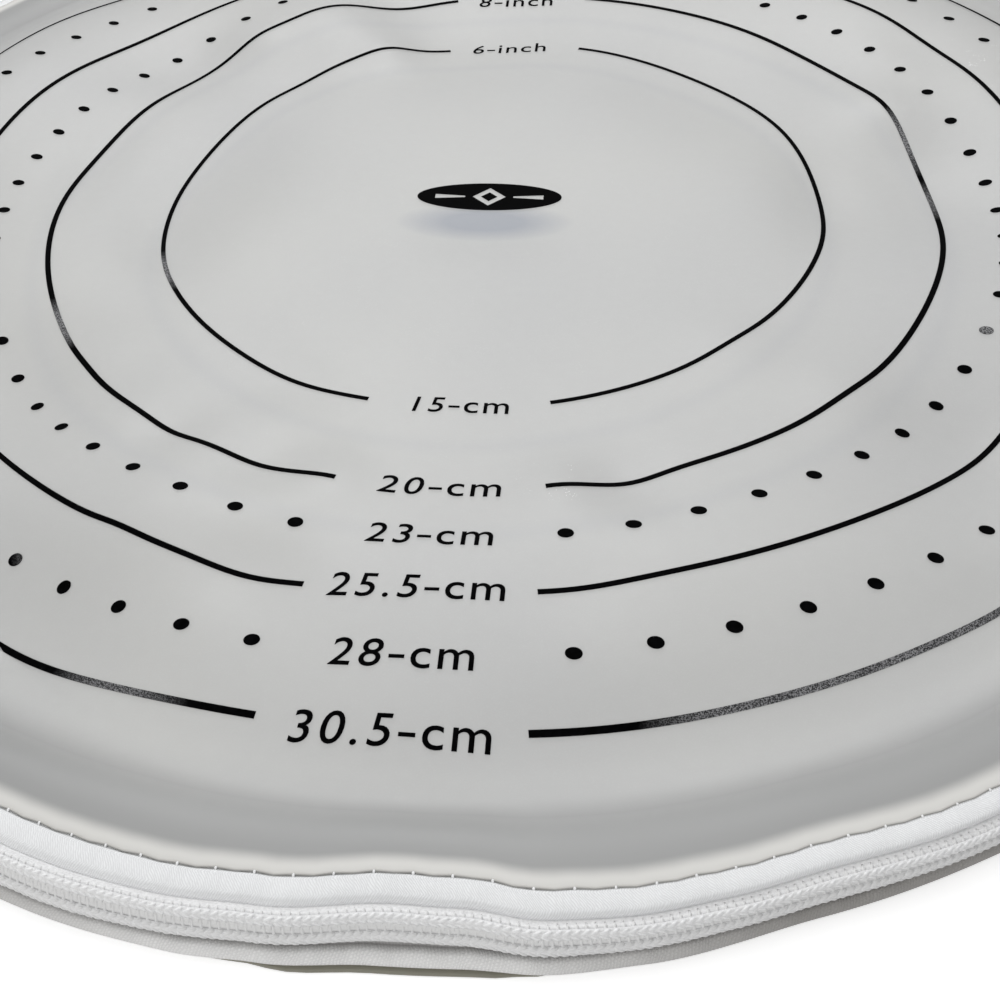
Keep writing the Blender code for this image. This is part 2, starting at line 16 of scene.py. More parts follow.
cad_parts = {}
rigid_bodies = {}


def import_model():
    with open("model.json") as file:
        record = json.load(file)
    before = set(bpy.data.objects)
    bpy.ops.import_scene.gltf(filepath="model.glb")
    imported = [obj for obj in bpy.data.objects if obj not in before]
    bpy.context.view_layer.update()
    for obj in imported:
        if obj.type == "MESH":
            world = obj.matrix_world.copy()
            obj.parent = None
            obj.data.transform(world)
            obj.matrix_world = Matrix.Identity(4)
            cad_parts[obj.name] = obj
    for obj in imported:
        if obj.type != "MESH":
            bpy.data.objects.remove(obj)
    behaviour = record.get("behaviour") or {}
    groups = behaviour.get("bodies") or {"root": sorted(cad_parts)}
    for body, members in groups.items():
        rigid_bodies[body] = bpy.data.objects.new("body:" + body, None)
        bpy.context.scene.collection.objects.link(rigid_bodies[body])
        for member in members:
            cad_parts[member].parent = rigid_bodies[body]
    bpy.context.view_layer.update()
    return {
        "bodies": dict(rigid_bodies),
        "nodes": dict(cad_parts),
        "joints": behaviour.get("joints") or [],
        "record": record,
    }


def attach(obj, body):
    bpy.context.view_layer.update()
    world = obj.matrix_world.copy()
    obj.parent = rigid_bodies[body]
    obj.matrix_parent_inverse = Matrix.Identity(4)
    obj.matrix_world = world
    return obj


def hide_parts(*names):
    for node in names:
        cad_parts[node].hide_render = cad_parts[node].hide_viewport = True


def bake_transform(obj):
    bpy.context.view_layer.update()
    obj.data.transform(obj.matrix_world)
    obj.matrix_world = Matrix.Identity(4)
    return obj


MM = 0.001

# The films. The free film ends at the seam's allowance, and eases to the seam over a band.
PRINT_PLANE = 10.15
FILM_RADIUS = 178.5
FREE_RADIUS = 174.5
UNDER_RADIUS = 188.6
FILM_THICKNESS = 0.4
SEAM_RISE = 0.3
SEAM_BAND = 12.0
SEAM_STITCHES = 197
STITCH_HEIGHT = 10.45
PUCKER = 0.25

# The radii from which the films' edges start to wander and pucker, and the lower film's mean margin.
WANDER_START = 160
PUCKER_START = 175
FOOT_START = 176
MEAN_MARGIN = 0.9

# The chain and the tapes, as on the frame.
CHAIN_RADIUS = 183.8
CHAIN_HEIGHT = 6.25
CHAIN_SLOPE = math.radians(60)
COIL_PITCH = 1.3
ROW_MIDDLE = 1.6
TAPE_THICKNESS = 0.5
RIM_HEIGHT = 10.6

# Bearings of the zipper's ends, and the bearing from which the tapes part for the parked slider.
TAPE_END = 167.8
BINDING_END = 170.2
FLAP_END = 160.0
END_START = 160.13
CHAIN_START = -161.6
CHAIN_END = 165.3
PARK_START = 148
PARK_EASE = 8

# How near the tapes come to the chain's middle line, where they part and elsewhere.
WIDE_TAPE = 1.5
CLOSE_TAPE = 0.45

# The free film's round form: radius, reach and height of its sag, its crest and the valley inside the seam.
FILM_FORM = [(0, 70, -0.6), (120, 26, 0.8), (163, 11, -2.6)]

# How the free film lies: bearing, share of the film's radius, reach in degrees and in mm, and height of each
# swell or dip.
SWELLS = [
    (15, 0.70, 22, 22, 3.2),
    (-22, 0.66, 16, 22, 2.8),
    (-31, 0.845, 11, 17, -8.0),
    (53, 0.72, 13, 26, -5.8),
    (-52, 0.67, 11, 20, -5.5),
    (96, 0.57, 16, 21, -6.0),
    (-100, 0.415, 24, 20, -4.5),
    (-108, 0.79, 15, 17, 4.8),
    (-148, 0.555, 10, 20, 4.0),
    (-125, 0.615, 10, 17, -3.4),
    (-170, 0.435, 20, 24, -2.8),
    (128, 0.74, 23, 18, 3.4),
    (138, 0.415, 30, 22, -3.0),
    (32, 0.865, 14, 14, -2.2),
]

# The small kinks that the frame's film leaves out: share of the radius, then bearing, reach in degrees
# and height.
KINKS = {
    0.43: [(-154, 6, 1.8), (-134, 8, -0.9), (-78, 14, -1.8), (-26, 10, -1.1), (45, 7, 0.8), (92, 16, -2.8)],
    0.57: [
        (-160, 7, -1.6), (-136, 5, 1.6), (-101, 13, -2.3), (-50, 4, 1.0), (-32, 4, -1.3), (-20, 4, -1.0),
        (-11, 4, 1.3), (12, 4, 1.2), (20, 4, -1.4), (48, 6, 1.3), (112, 7, 2.6), (130, 10, -1.0),
    ],
    0.71: [(-26, 3, 0.8), (-14, 5, -2.0), (12, 5, -0.9), (53, 5, -1.0), (122, 7, -1.5)],
    0.86: [(-122, 10, 2.0), (-23, 12, -2.1), (13, 9, -1.1), (40, 5, -1.4)],
}
KINK_DEPTH = 9.5

# How the rim wanders in and out, in mm at a bearing: at the film's seam, at the counter, and halfway up.
SEAM_WAVE = [
    (-180, 0), (-150, 0), (-122, 1.0), (-96, -0.8), (-70, 1.2), (-48, -0.6), (-30, 0.8), (-15, 2.1),
    (-10, 2.0), (-5, 0.8), (1, -1.6), (4, -1.2), (8, 1.1), (12, 1.7), (16, 1.2), (21, 0.3), (27, 1.1),
    (42, -0.6), (60, 1.3), (82, -0.9), (106, 1.0), (130, -0.6), (150, 0), (180, 0),
]
FOOT_WAVE = [
    (-180, 0), (-150, 0), (-110, 0.6), (-80, -0.5), (-50, 0.7), (-16, 0.8), (-9, 0.5), (-5, -0.5),
    (0, -2.0), (4, -2.1), (8, -1.2), (12, -1.7), (20, -3.8), (30, -4.3), (48, -2.0), (75, -0.4),
    (110, 0.5), (150, 0), (180, 0),
]
CHAIN_WAVE = [
    (-180, 0), (-60, 0), (-25, 0.5), (-14, 1.3), (-8, 0.7), (2, 0.05), (8, 0.3), (16, -0.1), (180, 0),
]

# How far the lower film shows past the lower tape, in mm at a bearing.
MARGIN_WAVE = [
    (-180, 0.8), (-120, 1.2), (-60, 0.5), (-20, 0.4), (-9, 0.4), (-6, 1.0), (-3, 1.8), (1, 1.7), (5, 1.7),
    (7, 1.0), (9, 0.3), (40, 0.5), (90, 0.4), (140, 1.0), (180, 0.8),
]

# Small uneven waves across the tapes: height in mm, pace and start of each.
UPPER_RIPPLE = [(0.12, 3.1, 0), (0.08, 7.3, 1)]
LOWER_RIPPLE = [(0.15, 2.7, 2), (0.08, 6.1, 0)]

# The print. A solid ring has its radius and line width in mm, and in degrees its gaps right and left of the
# front and at the back. A dotted ring has its radius, its first bearing, its pitch and its count.
INK_DEPTH = 0.1
SOLID_RINGS = [
    (76.2, 1.05, 14.3, 12.8, 13.2), (101.6, 1.2, 11.1, 10.6, 10.2), (127.0, 1.1, 9.0, 9.0, 8.0),
    (152.4, 1.25, 7.6, 8.8, 7.0),
]
DOTTED_RINGS = [(114.3, 12.0, 6.0, 27), (139.7, 10.9, 360 / 66, 29)]
DOT_RADIUS = 1.12
DOT_STRETCH = 1.28

# Each label has its text, its size and the middle of it, right of the bag's middle and back from it.
LABELS = [
    ("15-cm", 6.6, 0.9, -75.2), ("20-cm", 7.4, 0.2, -99.2), ("23-cm", 7.45, 0.1, -112.6),
    ("25.5-cm", 7.6, -0.6, -125.1), ("28-cm", 7.8, -1.3, -138.6), ("30.5-cm", 8.15, -1.7, -151.9),
    ("6-inch", 6.6, -1.6, 75.6), ("8-inch", 6.8, -1.6, 99.6), ("9-inch", 6.8, -1.6, 113.6),
    ("10-inch", 6.9, -1.6, 126.4), ("11-inch", 6.9, -1.6, 139.0), ("12-inch", 7.0, -1.6, 152.0),
]

# How a label's figures and unit are set: share of its size, slant, spacing and width.
FIGURES = (0.95, 0.14, 1.2, 1.08)
UNIT = (1.02, 0.0, 1.12, 1.1)
LETTER_WEIGHT = 0.02

# Shares of a label's size: how far its foot lies below its middle, the room before the dash, the dash's
# length, height and thickness, and where the unit starts.
FOOT_DROP = 0.37
DASH_ROOM = 0.13
DASH_LENGTH = 0.33
DASH_HEIGHT = 0.21
DASH_THICKNESS = 0.085
UNIT_START = 0.42

# The centring mark: its middle, its oval, the two nested diamonds as half widths, and the bar on its right.
MARK_MIDDLE = (0.2, -1.2)
MARK_OVAL = (16.8, 5.6)
MARK_DIAMONDS = [(3.9, 3.7), (1.9, 1.8)]
MARK_BAR = [(5.6, -0.35), (12.6, -0.9), (12.6, 0.9), (5.6, 0.35)]

# Where the window's glare greys the ink: bearing, radius and reach.
GLARE = [
    (20, 160, 18), (25.5, 160, 20), (31, 160, 20), (36.5, 160, 20), (42, 160, 17), (-19, 159, 17),
    (94, 101, 10), (106, 100, 12), (-66, 75, 10), (-59, 102, 9), (66, 115, 5), (-32, 140, 5),
]
GLARE_HEIGHT = 10.2

# Where flour clings to the film: place and reach in metres, scale of its grains and how much of it shows.
FLOUR = [
    ((0.0245, -0.0985, 0.0102), 0.016, 2200.0, 1.0), ((0.118, 0.058, 0.0102), 0.02, 2000.0, 1.0),
    ((0.0, -0.02, 0.0102), 0.24, 1100.0, 0.12),
]

# Bands of painted light and shade along a film's edge: in mm from the edge where each starts and is full,
# its colour
# and its cover. On the top film: painted shade inside the seam, a pale painted light where the tape lies
# beneath, a greyer strip, and a thin painted shadow at the very edge.
TOP_LIGHT_AND_SHADE_BANDS = [
    (19.5, 5.5, (0.345, 0.347, 0.345), 0.95), (3.6, 1.3, (0.79, 0.78, 0.75), 0.9),
    (1.2, 0.2, (0.64, 0.63, 0.6), 0.5), (0.12, 0.03, (0.42, 0.415, 0.4), 1.0),
]
# The lower film's band is painted shade along its margin, where it shows past the lower tape.
UNDER_SHADE_BANDS = [(6.0, 4.0, (0.29, 0.28, 0.225), 1.0)]

# The cords of one row: the filler in the coil, the bed of thread over it and the ridge at its outer edge.
# Each has its place on the chain's section and its half width and half height.
CORDS = [(1.5, 1.94, 0.9, 0.4), (2.0, 1.2, 0.52, 0.52), (2.3, 0.75, 0.3, 0.5), (2.52, 0.5, 0.18, 0.42)]

# The nylon between the heads, where the coil's wire bends back.
HEAD_WEB = [(0.3, 1.48, 0.8, 0.42)]

# The studio: its lamps with their place, size, power and colour, all facing the bag, and the light round it.
LAMPS = {
    "window": ((-0.2, 1.15, 1.15), (0.8, 0.6), 6.5, (0.97, 0.985, 1.0)),
    "overhead": ((0.05, 0.5, 0.95), (1.0, 1.0), 5.4, (1.0, 1.0, 1.0)),
    "front_fill": ((-0.7, -1.1, 0.8), (1.2, 0.8), 6.4, (1.0, 0.995, 0.98)),
}
WORLD_LEVEL = 0.41
COUNTER_GLOW = 0.55
COUNTER_REACH = 3.0
COUNTER_HEIGHT = -0.0001

# The camera: where it stands, its pitch, roll and turn in degrees, its lens as a share of the sensor, and
# its shift.
STAND = (0.0315, -0.2763, 0.18525)
PITCH, ROLL, TURN = 44.79, -4.44, 9.66
SENSOR = 36
LENS_SHARE = 1.3782
SHIFT = (0.0532, 0.0028)

# Kinds of socket.
GEOMETRY = "NodeSocketGeometry"
NUMBER = "NodeSocketFloat"
COUNT = "NodeSocketInt"
VECTOR = "NodeSocketVector"
THING = "NodeSocketObject"
FINISH = "NodeSocketMaterial"


# Places on the bag.


def eased(share):
    """A step from 0 to 1 that leaves and arrives level."""
    share = np.clip(share, 0, 1)
    return share * share * (3 - 2 * share)


def between(value, start, end):
    """Eases from 0 at one value to 1 at another."""
    return eased((value - start) / (end - start))


def bell(away, reach):
    """A soft hump: 1 at its middle, and near 0 past its reach."""
    return np.exp(-((away / reach) ** 2))


def wrapped(bearing):
    """The same bearing between -180 and 180 degrees."""
    return (bearing + 180) % 360 - 180


def along_rim(points, bearing):
    """A value that eases from one set point of the rim to the next."""
    places = np.array([point[0] for point in points], float)
    values = np.array([point[1] for point in points], float)
    bearing = wrapped(np.asarray(bearing, float))
    before = np.clip(np.searchsorted(places, bearing, side="right") - 1, 0, len(places) - 2)
    share = (bearing - places[before]) / (places[before + 1] - places[before])
    return values[before] + (values[before + 1] - values[before]) * eased(share)


def rim_wave(bearing, height):
    """How far the rim stands out from its circle at a bearing and a height."""
    share = np.clip(np.asarray(height, float) / RIM_HEIGHT, 0, 1)
    foot = along_rim(FOOT_WAVE, bearing)
    seam = along_rim(SEAM_WAVE, bearing)
    return foot + (seam - foot) * share + along_rim(CHAIN_WAVE, bearing) * np.sin(math.pi * share)


def ripple(waves, bearing):
    """The height of small waves at a bearing."""
    return sum(high * math.sin(bearing * pace + start) for high, pace, start in waves)


def film_height(bearing, radius):
    """Height of the top film's upper face."""
    radius = np.asarray(radius, float)
    lift = sum(high * bell(radius - at, reach) for at, reach, high in FILM_FORM)
    for at, share, wide, deep, high in SWELLS:
        lift = lift + high * bell(wrapped(bearing - at), wide) * bell(radius - share * FILM_RADIUS, deep)
    for share, kinks in KINKS.items():
        near = bell(radius - share * FILM_RADIUS, KINK_DEPTH)
        for at, wide, high in kinks:
            lift = lift + high * near * bell(wrapped(bearing - at), wide)
    rise = SEAM_RISE * (np.minimum(radius, FREE_RADIUS) / FREE_RADIUS) ** 4
    return PRINT_PLANE + rise + lift * eased((FREE_RADIUS - radius) / SEAM_BAND)


def under_height(bearing, radius):
    """Height of the lower film's upper face, the same all over."""
    return np.full(len(bearing), FILM_THICKNESS)


def seam_wave(bearing, radius):
    """How far the top film's edge wanders out, with a pucker between each two stitches."""
    pucker = PUCKER * np.abs(np.sin(np.radians(bearing) * SEAM_STITCHES / 2))
    wander = along_rim(SEAM_WAVE, bearing) * between(radius, WANDER_START, FILM_RADIUS)
    return wander + pucker * between(radius, PUCKER_START, FILM_RADIUS)


def foot_wave(bearing, radius):
    """How far the lower film's edge wanders out."""
    edge = along_rim(FOOT_WAVE, bearing) + along_rim(MARGIN_WAVE, bearing) - MEAN_MARGIN
    return edge * between(radius, FOOT_START, UNDER_RADIUS)


def in_space(bearing, radius, height):
    """Points in metres from bearings in degrees and lengths in mm."""
    turn = np.radians(bearing)
    parts = np.broadcast_arrays(radius * np.sin(turn), -radius * np.cos(turn), height)
    return np.stack(parts, -1) * MM


def chain_section(y, n=0.0):
    """Radius and height of a point of the chain's section."""
    return (
        CHAIN_RADIUS - y * math.cos(CHAIN_SLOPE) + n * math.sin(CHAIN_SLOPE),
        CHAIN_HEIGHT + y * math.sin(CHAIN_SLOPE) + n * math.cos(CHAIN_SLOPE),
    )


def chain_frames(bearings, y):
    """Places on the chain at a height y of its section, with their directions along and out."""
    def at(turned, climbed):
        radius, height = chain_section(climbed)
        return in_space(turned, radius + rim_wave(turned, height), height)

    def unit(vectors):
        return vectors / np.linalg.norm(vectors, axis=-1, keepdims=True)

    along = unit(at(bearings + 0.05, y) - at(bearings - 0.05, y))
    up = unit(at(bearings, y + 0.5) - at(bearings, y - 0.5))
    out = unit(np.cross(along, up))
    return at(bearings, y), along, out


# Objects and meshes.


def new_object(name, mesh):
    """Adds a piece to the scene, at the origin."""
    obj = bpy.data.objects.new(name, mesh)
    bpy.context.scene.collection.objects.link(obj)
    return obj


def evaluated_mesh(obj):
    """The object's mesh with its modifiers, as a new plain mesh."""
    bpy.context.view_layer.update()
    graph = bpy.context.evaluated_depsgraph_get()
    return bpy.data.meshes.new_from_object(obj.evaluated_get(graph))


def taken(objects):
    """The meshes of objects that leave the scene."""
    meshes = [obj.data for obj in objects]
    for obj in objects:
        bpy.data.objects.remove(obj, do_unlink=True)
    return meshes


def joined(name, meshes, materials):
    """One new mesh from several, with the materials given."""
    shape = bmesh.new()
    for mesh in meshes:
        shape.from_mesh(mesh)
    result = bpy.data.meshes.new(name)
    shape.to_mesh(result)
    shape.free()
    for material in materials:
        result.materials.append(material)
    return result


def one_piece(name, meshes):
    """Several meshes as one smooth object, with the first slot of the first one."""
    mesh = joined(name, meshes, list(meshes[0].materials)[:1])
    mesh.shade_smooth()
    return new_object(name, mesh)


def united(name, objects):
    """Several objects as one. One alone only gets its name."""
    if len(objects) > 1:
        return one_piece(name, taken(objects))
    objects[0].name = name
    objects[0].data.name = name
    return objects[0]


def add_wall(obj, thickness, offset):
    """Gives an open surface its thickness."""
    wall = obj.modifiers.new("Wall", "SOLIDIFY")
    wall.thickness = thickness * MM
    wall.offset = offset
    wall.use_even_offset = True
    return obj


def grid_mesh(name, points, lengths, loop_across=False):
    """A smooth surface over a grid of points, with a UV map in mm made from the lengths."""
    rows, columns = points.shape[:2]
    faces, corners = [], []
    for i in range(rows - 1):
        for j in range(columns if loop_across else columns - 1):
            square = [(i, j), (i + 1, j), (i + 1, j + 1), (i, j + 1)]
            faces.append([a * columns + b % columns for a, b in square])
            corners += square
    mesh = bpy.data.meshes.new(name)
    mesh.from_pydata(points.reshape(-1, 3).tolist(), [], faces)
    uv = mesh.uv_layers.new(name="Cloth")
    along, across = lengths
    uv.data.foreach_set("uv", [value for a, b in corners for value in (along[a], across[b])])
    mesh.shade_smooth()
    return mesh


def place_mesh(places, along, out):
    """Points that carry two directions, to copy a small shape onto."""
    mesh = bpy.data.meshes.new("places")
    mesh.from_pydata(places.tolist(), [], [])
    for label, vectors in (("along", along), ("out", out)):
        attribute = mesh.attributes.new(label, "FLOAT_VECTOR", "POINT")
        attribute.data.foreach_set("vector", vectors.ravel())
    return mesh


# Nodes.


def add_node(tree, kind, links=None, **settings):
    """Adds a node, sets it, and links or sets its inputs by name or number."""
    made = tree.nodes.new(kind)
    for key, value in settings.items():
        setattr(made, key, value)
    for key, value in (links or {}).items():
        if isinstance(value, bpy.types.NodeSocket):
            tree.links.new(value, made.inputs[key])
        else:
            made.inputs[key].default_value = value
    return made


def node_on(values, kind, links=None, **settings):
    """Adds a node to the tree of the first socket among some values."""
    tree = next(value.id_data for value in values if isinstance(value, bpy.types.NodeSocket))
    return add_node(tree, kind, links or dict(enumerate(values)), **settings)


def math_node(operation, *values):
    """The result of a sum on numbers or sockets."""
    return node_on(values, "ShaderNodeMath", operation=operation).outputs[0]


def plus(first, second):
    return math_node("ADD", first, second)


def minus(first, second):
    return math_node("SUBTRACT", first, second)


def times(first, second):
    return math_node("MULTIPLY", first, second)


def larger(first, second):
    return math_node("MAXIMUM", first, second)


def vector_math(operation, *values, out="Vector"):
    """The result of a sum on vectors. out is Value where it is a length."""
    return node_on(values, "ShaderNodeVectorMath", operation=operation).outputs[out]


def parts_of(vector):
    """The three parts of a vector, as sockets."""
    return node_on([vector], "ShaderNodeSeparateXYZ").outputs


def new_tree(name, kind, inputs, outputs):
    """A node tree with named inputs and outputs, and its two end nodes."""
    tree = bpy.data.node_groups.new(name, kind)
    for label, socket, value in inputs:
        made = tree.interface.new_socket(label, in_out="INPUT", socket_type=socket)
        if value is not None:
            made.default_value = value
    for label, socket in outputs:
        tree.interface.new_socket(label, in_out="OUTPUT", socket_type=socket)
    return tree, tree.nodes.new("NodeGroupInput"), tree.nodes.new("NodeGroupOutput")


def geometry_tree(name, *inputs):
    """A geometry tree with its own named inputs, its given sockets and the socket of its result."""
    tree, start, end = new_tree(
        name, "GeometryNodeTree", [("Geometry", GEOMETRY, None), *inputs], [("Geometry", GEOMETRY)])
    return tree, start.outputs, end.inputs[0]


def finish_tree(tree, geometry, finish, result):
    """Makes copies real and gives all of it its material, as every such tree ends."""
    real = add_node(tree, "GeometryNodeRealizeInstances", {0: geometry})
    coated = add_node(tree, "GeometryNodeSetMaterial", {"Geometry": real.outputs[0], "Material": finish})
    tree.links.new(coated.outputs[0], result)
    return tree


def grow(name, mesh, tree, **values):
    """Runs a geometry tree on a mesh and keeps the result as a plain mesh."""
    obj = new_object(name, mesh)
    nodes = obj.modifiers.new("Grow", "NODES")
    nodes.node_group = tree
    for item in tree.interface.items_tree:
        label = item.name.replace(" ", "_").lower()
        if item.item_type == "SOCKET" and item.in_out == "INPUT" and label in values:
            nodes[item.identifier] = values[label]
    result = evaluated_mesh(obj)
    obj.modifiers.clear()
    obj.data = result
    result.name = name
    return obj


# Geometry node trees for what repeats, and for the print that follows the film.


def drape_group():
    """Drops every point onto the film below it, a little above its face."""
    tree, given, result = geometry_tree(
        "Drape on the film", ("Film", THING, None), ("Lift", NUMBER, 0.00006))
    film = add_node(tree, "GeometryNodeObjectInfo", {"Object": given["Film"]})
    place = parts_of(add_node(tree, "GeometryNodeInputPosition").outputs[0])
    above = add_node(tree, "ShaderNodeCombineXYZ", {0: place[0], 1: place[1], 2: 0.1})
    ray = add_node(tree, "GeometryNodeRaycast", {
        "Target Geometry": film.outputs["Geometry"], "Source Position": above.outputs[0],
        "Ray Direction": (0, 0, -1), "Ray Length": 1.0,
    })
    lift = add_node(tree, "ShaderNodeCombineXYZ", {2: given["Lift"]}).outputs[0]
    landed = vector_math("ADD", ray.outputs["Hit Position"], lift)
    moved = add_node(tree, "GeometryNodeSetPosition", {"Geometry": given["Geometry"], "Position": landed})
    tree.links.new(moved.outputs[0], result)
    return tree


def draped(tree, drape, geometry, film):
    """The geometry, laid on the film."""
    laid = add_node(tree, "GeometryNodeGroup", node_tree=drape)
    tree.links.new(geometry, laid.inputs["Geometry"])
    tree.links.new(film, laid.inputs["Film"])
    return laid.outputs[0]


def ring_tree(drape):
    """One printed line: two arcs with a gap for the labels at the front and at the back."""
    tree, given, result = geometry_tree(
        "Printed ring", ("Radius", NUMBER, 0.1), ("Line width", NUMBER, 0.001), ("Right gap", NUMBER, 0.1),
        ("Left gap", NUMBER, 0.1), ("Back gap", NUMBER, 0.1), ("Film", THING, None), ("Ink", FINISH, None))
    arcs = add_node(tree, "GeometryNodeJoinGeometry")
    for side, gap in ((1, "Right gap"), (-1, "Left gap")):
        strip = add_node(tree, "GeometryNodeMeshGrid", {
            "Size X": 1.0, "Size Y": 1.0, "Vertices X": 420, "Vertices Y": 3})
        place = parts_of(add_node(tree, "GeometryNodeInputPosition").outputs[0])
        sweep = minus(math.pi, plus(given[gap], given["Back gap"]))
        turn = plus(times(plus(place[0], 0.5), sweep), given[gap])
        reach = plus(given["Radius"], times(place[1], given["Line width"]))
        x = times(math_node("SINE", turn), times(reach, side))
        y = times(math_node("COSINE", turn), times(reach, -1))
        where = add_node(tree, "ShaderNodeCombineXYZ", {0: x, 1: y})
        arc = add_node(tree, "GeometryNodeSetPosition", {
            "Geometry": strip.outputs[0], "Position": where.outputs[0]}).outputs[0]
        if side > 0:
            arc = add_node(tree, "GeometryNodeFlipFaces", {0: arc}).outputs[0]
        tree.links.new(arc, arcs.inputs[0])
    laid = draped(tree, drape, arcs.outputs[0], given["Film"])
    return finish_tree(tree, laid, given["Ink"], result)


def dot_tree(drape):
    """A printed dot, a little wider than deep, on every point."""
    tree, given, result = geometry_tree(
        "Printed dots", ("Dot radius", NUMBER, 0.0011), ("Dot stretch", NUMBER, 1.0), ("Film", THING, None),
        ("Ink", FINISH, None))
    disc = add_node(tree, "GeometryNodeMeshCircle", {
        "Vertices": 22, "Radius": given["Dot radius"]}, fill_type="TRIANGLE_FAN")
    size = add_node(tree, "ShaderNodeCombineXYZ", {"X": given["Dot stretch"], "Y": 1.0, "Z": 1.0})
    placed = add_node(tree, "GeometryNodeInstanceOnPoints", {
        "Points": given["Geometry"], "Instance": disc.outputs[0], "Scale": size.outputs[0]})
    real = add_node(tree, "GeometryNodeRealizeInstances", {0: placed.outputs[0]})
    laid = draped(tree, drape, real.outputs[0], given["Film"])
    return finish_tree(tree, laid, given["Ink"], result)


def print_tree(drape):
    """Flat lettering cut finer and laid on the film."""
    tree, given, result = geometry_tree(
        "Printed lettering", ("Cuts", COUNT, 2), ("Film", THING, None), ("Ink", FINISH, None))
    finer = add_node(tree, "GeometryNodeSubdivideMesh", {"Mesh": given["Geometry"], "Level": given["Cuts"]})
    laid = draped(tree, drape, finer.outputs[0], given["Film"])
    return finish_tree(tree, laid, given["Ink"], result)


def row_tree(name):
    """Copies of one small shape along the rim, each turned to the directions stored on its point."""
    tree, given, result = geometry_tree(
        name, ("Shape", THING, None), ("Size wander", NUMBER, 0.0), ("Seed", COUNT, 7),
        ("Finish", FINISH, None))
    shape = add_node(tree, "GeometryNodeObjectInfo", {"Object": given["Shape"]})
    along = add_node(tree, "GeometryNodeInputNamedAttribute", {"Name": "along"}, data_type="FLOAT_VECTOR")
    out = add_node(tree, "GeometryNodeInputNamedAttribute", {"Name": "out"}, data_type="FLOAT_VECTOR")
    turned = add_node(tree, "FunctionNodeAxesToRotation", {
        "Primary Axis": out.outputs[0], "Secondary Axis": along.outputs[0]},
        primary_axis="Z", secondary_axis="X")
    size = add_node(tree, "FunctionNodeRandomValue", data_type="FLOAT_VECTOR")
    wander = given["Size wander"]
    for limit, scale in enumerate((minus(1.0, wander), plus(1.0, wander))):
        vector = add_node(tree, "ShaderNodeCombineXYZ", {0: scale, 1: scale, 2: 1.0})
        tree.links.new(vector.outputs[0], size.inputs[limit])
    tree.links.new(given["Seed"], size.inputs["Seed"])
    placed = add_node(tree, "GeometryNodeInstanceOnPoints", {
        "Points": given["Geometry"], "Instance": shape.outputs["Geometry"],
        "Rotation": turned.outputs[0], "Scale": size.outputs[0]})
    return finish_tree(tree, placed.outputs[0], given["Finish"], result)


# Materials.


def principled(name, **values):
    """A material with constant values set on its own shader's sockets."""
    made = bpy.data.materials.new(name)
    made.use_nodes = True
    shader = made.node_tree.nodes["Principled BSDF"]
    for key, value in values.items():
        shader.inputs[key.replace("_", " ")].default_value = value
    return made, made.node_tree, shader


def object_place(tree):
    """The place on the piece, in metres."""
    return add_node(tree, "ShaderNodeTexCoord").outputs["Object"]


def noise(place, scale, detail=2.0, flat=False):
    """Soft random patches between 0 and 1, most of them near the middle."""
    made = node_on([place], "ShaderNodeTexNoise", {
        "Vector": place, "Scale": scale, "Detail": detail}, noise_dimensions="2D" if flat else "3D")
    return made.outputs["Fac"]


def ramp(value, low, high, start=0.0, end=1.0, interpolation="LINEAR"):
    """Stretches a value from low..high to start..end and keeps it between them."""
    made = node_on([value], "ShaderNodeMapRange", {
        "Value": value, "From Min": low, "From Max": high, "To Min": start, "To Max": end},
        interpolation_type=interpolation)
    return made.outputs[0]


def mixed(share, first, second):
    """A colour between two colours."""
    first, second = (
        value if isinstance(value, bpy.types.NodeSocket) else (*value, 1) for value in (first, second))
    return node_on([share], "ShaderNodeMix", {0: share, 6: first, 7: second}, data_type="RGBA").outputs[2]


def finish_surface(tree, shader, colour, roughness, height, strength, depth):
    """Links a colour, a roughness and the bumps of a height to the shader."""
    tree.links.new(colour, shader.inputs["Base Color"])
    tree.links.new(roughness, shader.inputs["Roughness"])
    bump = add_node(tree, "ShaderNodeBump", {"Height": height, "Strength": strength, "Distance": depth})
    tree.links.new(bump.outputs[0], shader.inputs["Normal"])


def weave_group():
    """Ribs of thread that run across a tape at a slant, broken where each thread dives."""
    inputs = [
        ("Place", VECTOR, None), ("Rib spacing", NUMBER, 0.5), ("Slant", NUMBER, 0.6),
        ("Float length", NUMBER, 0.7), ("Stripe", NUMBER, 2.4), ("Dive", NUMBER, 0.45),
    ]
    outputs = [("Height", NUMBER), ("Shade", NUMBER)]
    tree, start, end = new_tree("Woven ribs", "ShaderNodeTree", inputs, outputs)
    given = start.outputs
    place = parts_of(given["Place"])
    drift = times(noise(given["Place"], 0.35, flat=True), 0.9)
    slid = times(math_node("PINGPONG", place[1], given["Stripe"]), given["Slant"])
    along = plus(plus(place[0], slid), drift)
    phase = math_node("DIVIDE", along, given["Rib spacing"])
    rib = math_node("SINE", times(phase, 2 * math.pi))
    stagger = times(math_node("FLOOR", phase), 0.37)
    across = plus(math_node("DIVIDE", place[1], given["Float length"]), stagger)
    dive = math_node("SINE", times(across, 2 * math.pi))
    shown = ramp(dive, -1.0, -0.2, given["Dive"], 1.0)
    thread = times(ramp(rib, -1.0, 1.0), shown)
    fuzz = noise(given["Place"], 5.0, 4.0, flat=True)
    height = plus(times(thread, 0.75), times(fuzz, 0.25))
    tree.links.new(height, end.inputs["Height"])
    tree.links.new(ramp(height, 0.15, 0.7), end.inputs["Shade"])
    return tree


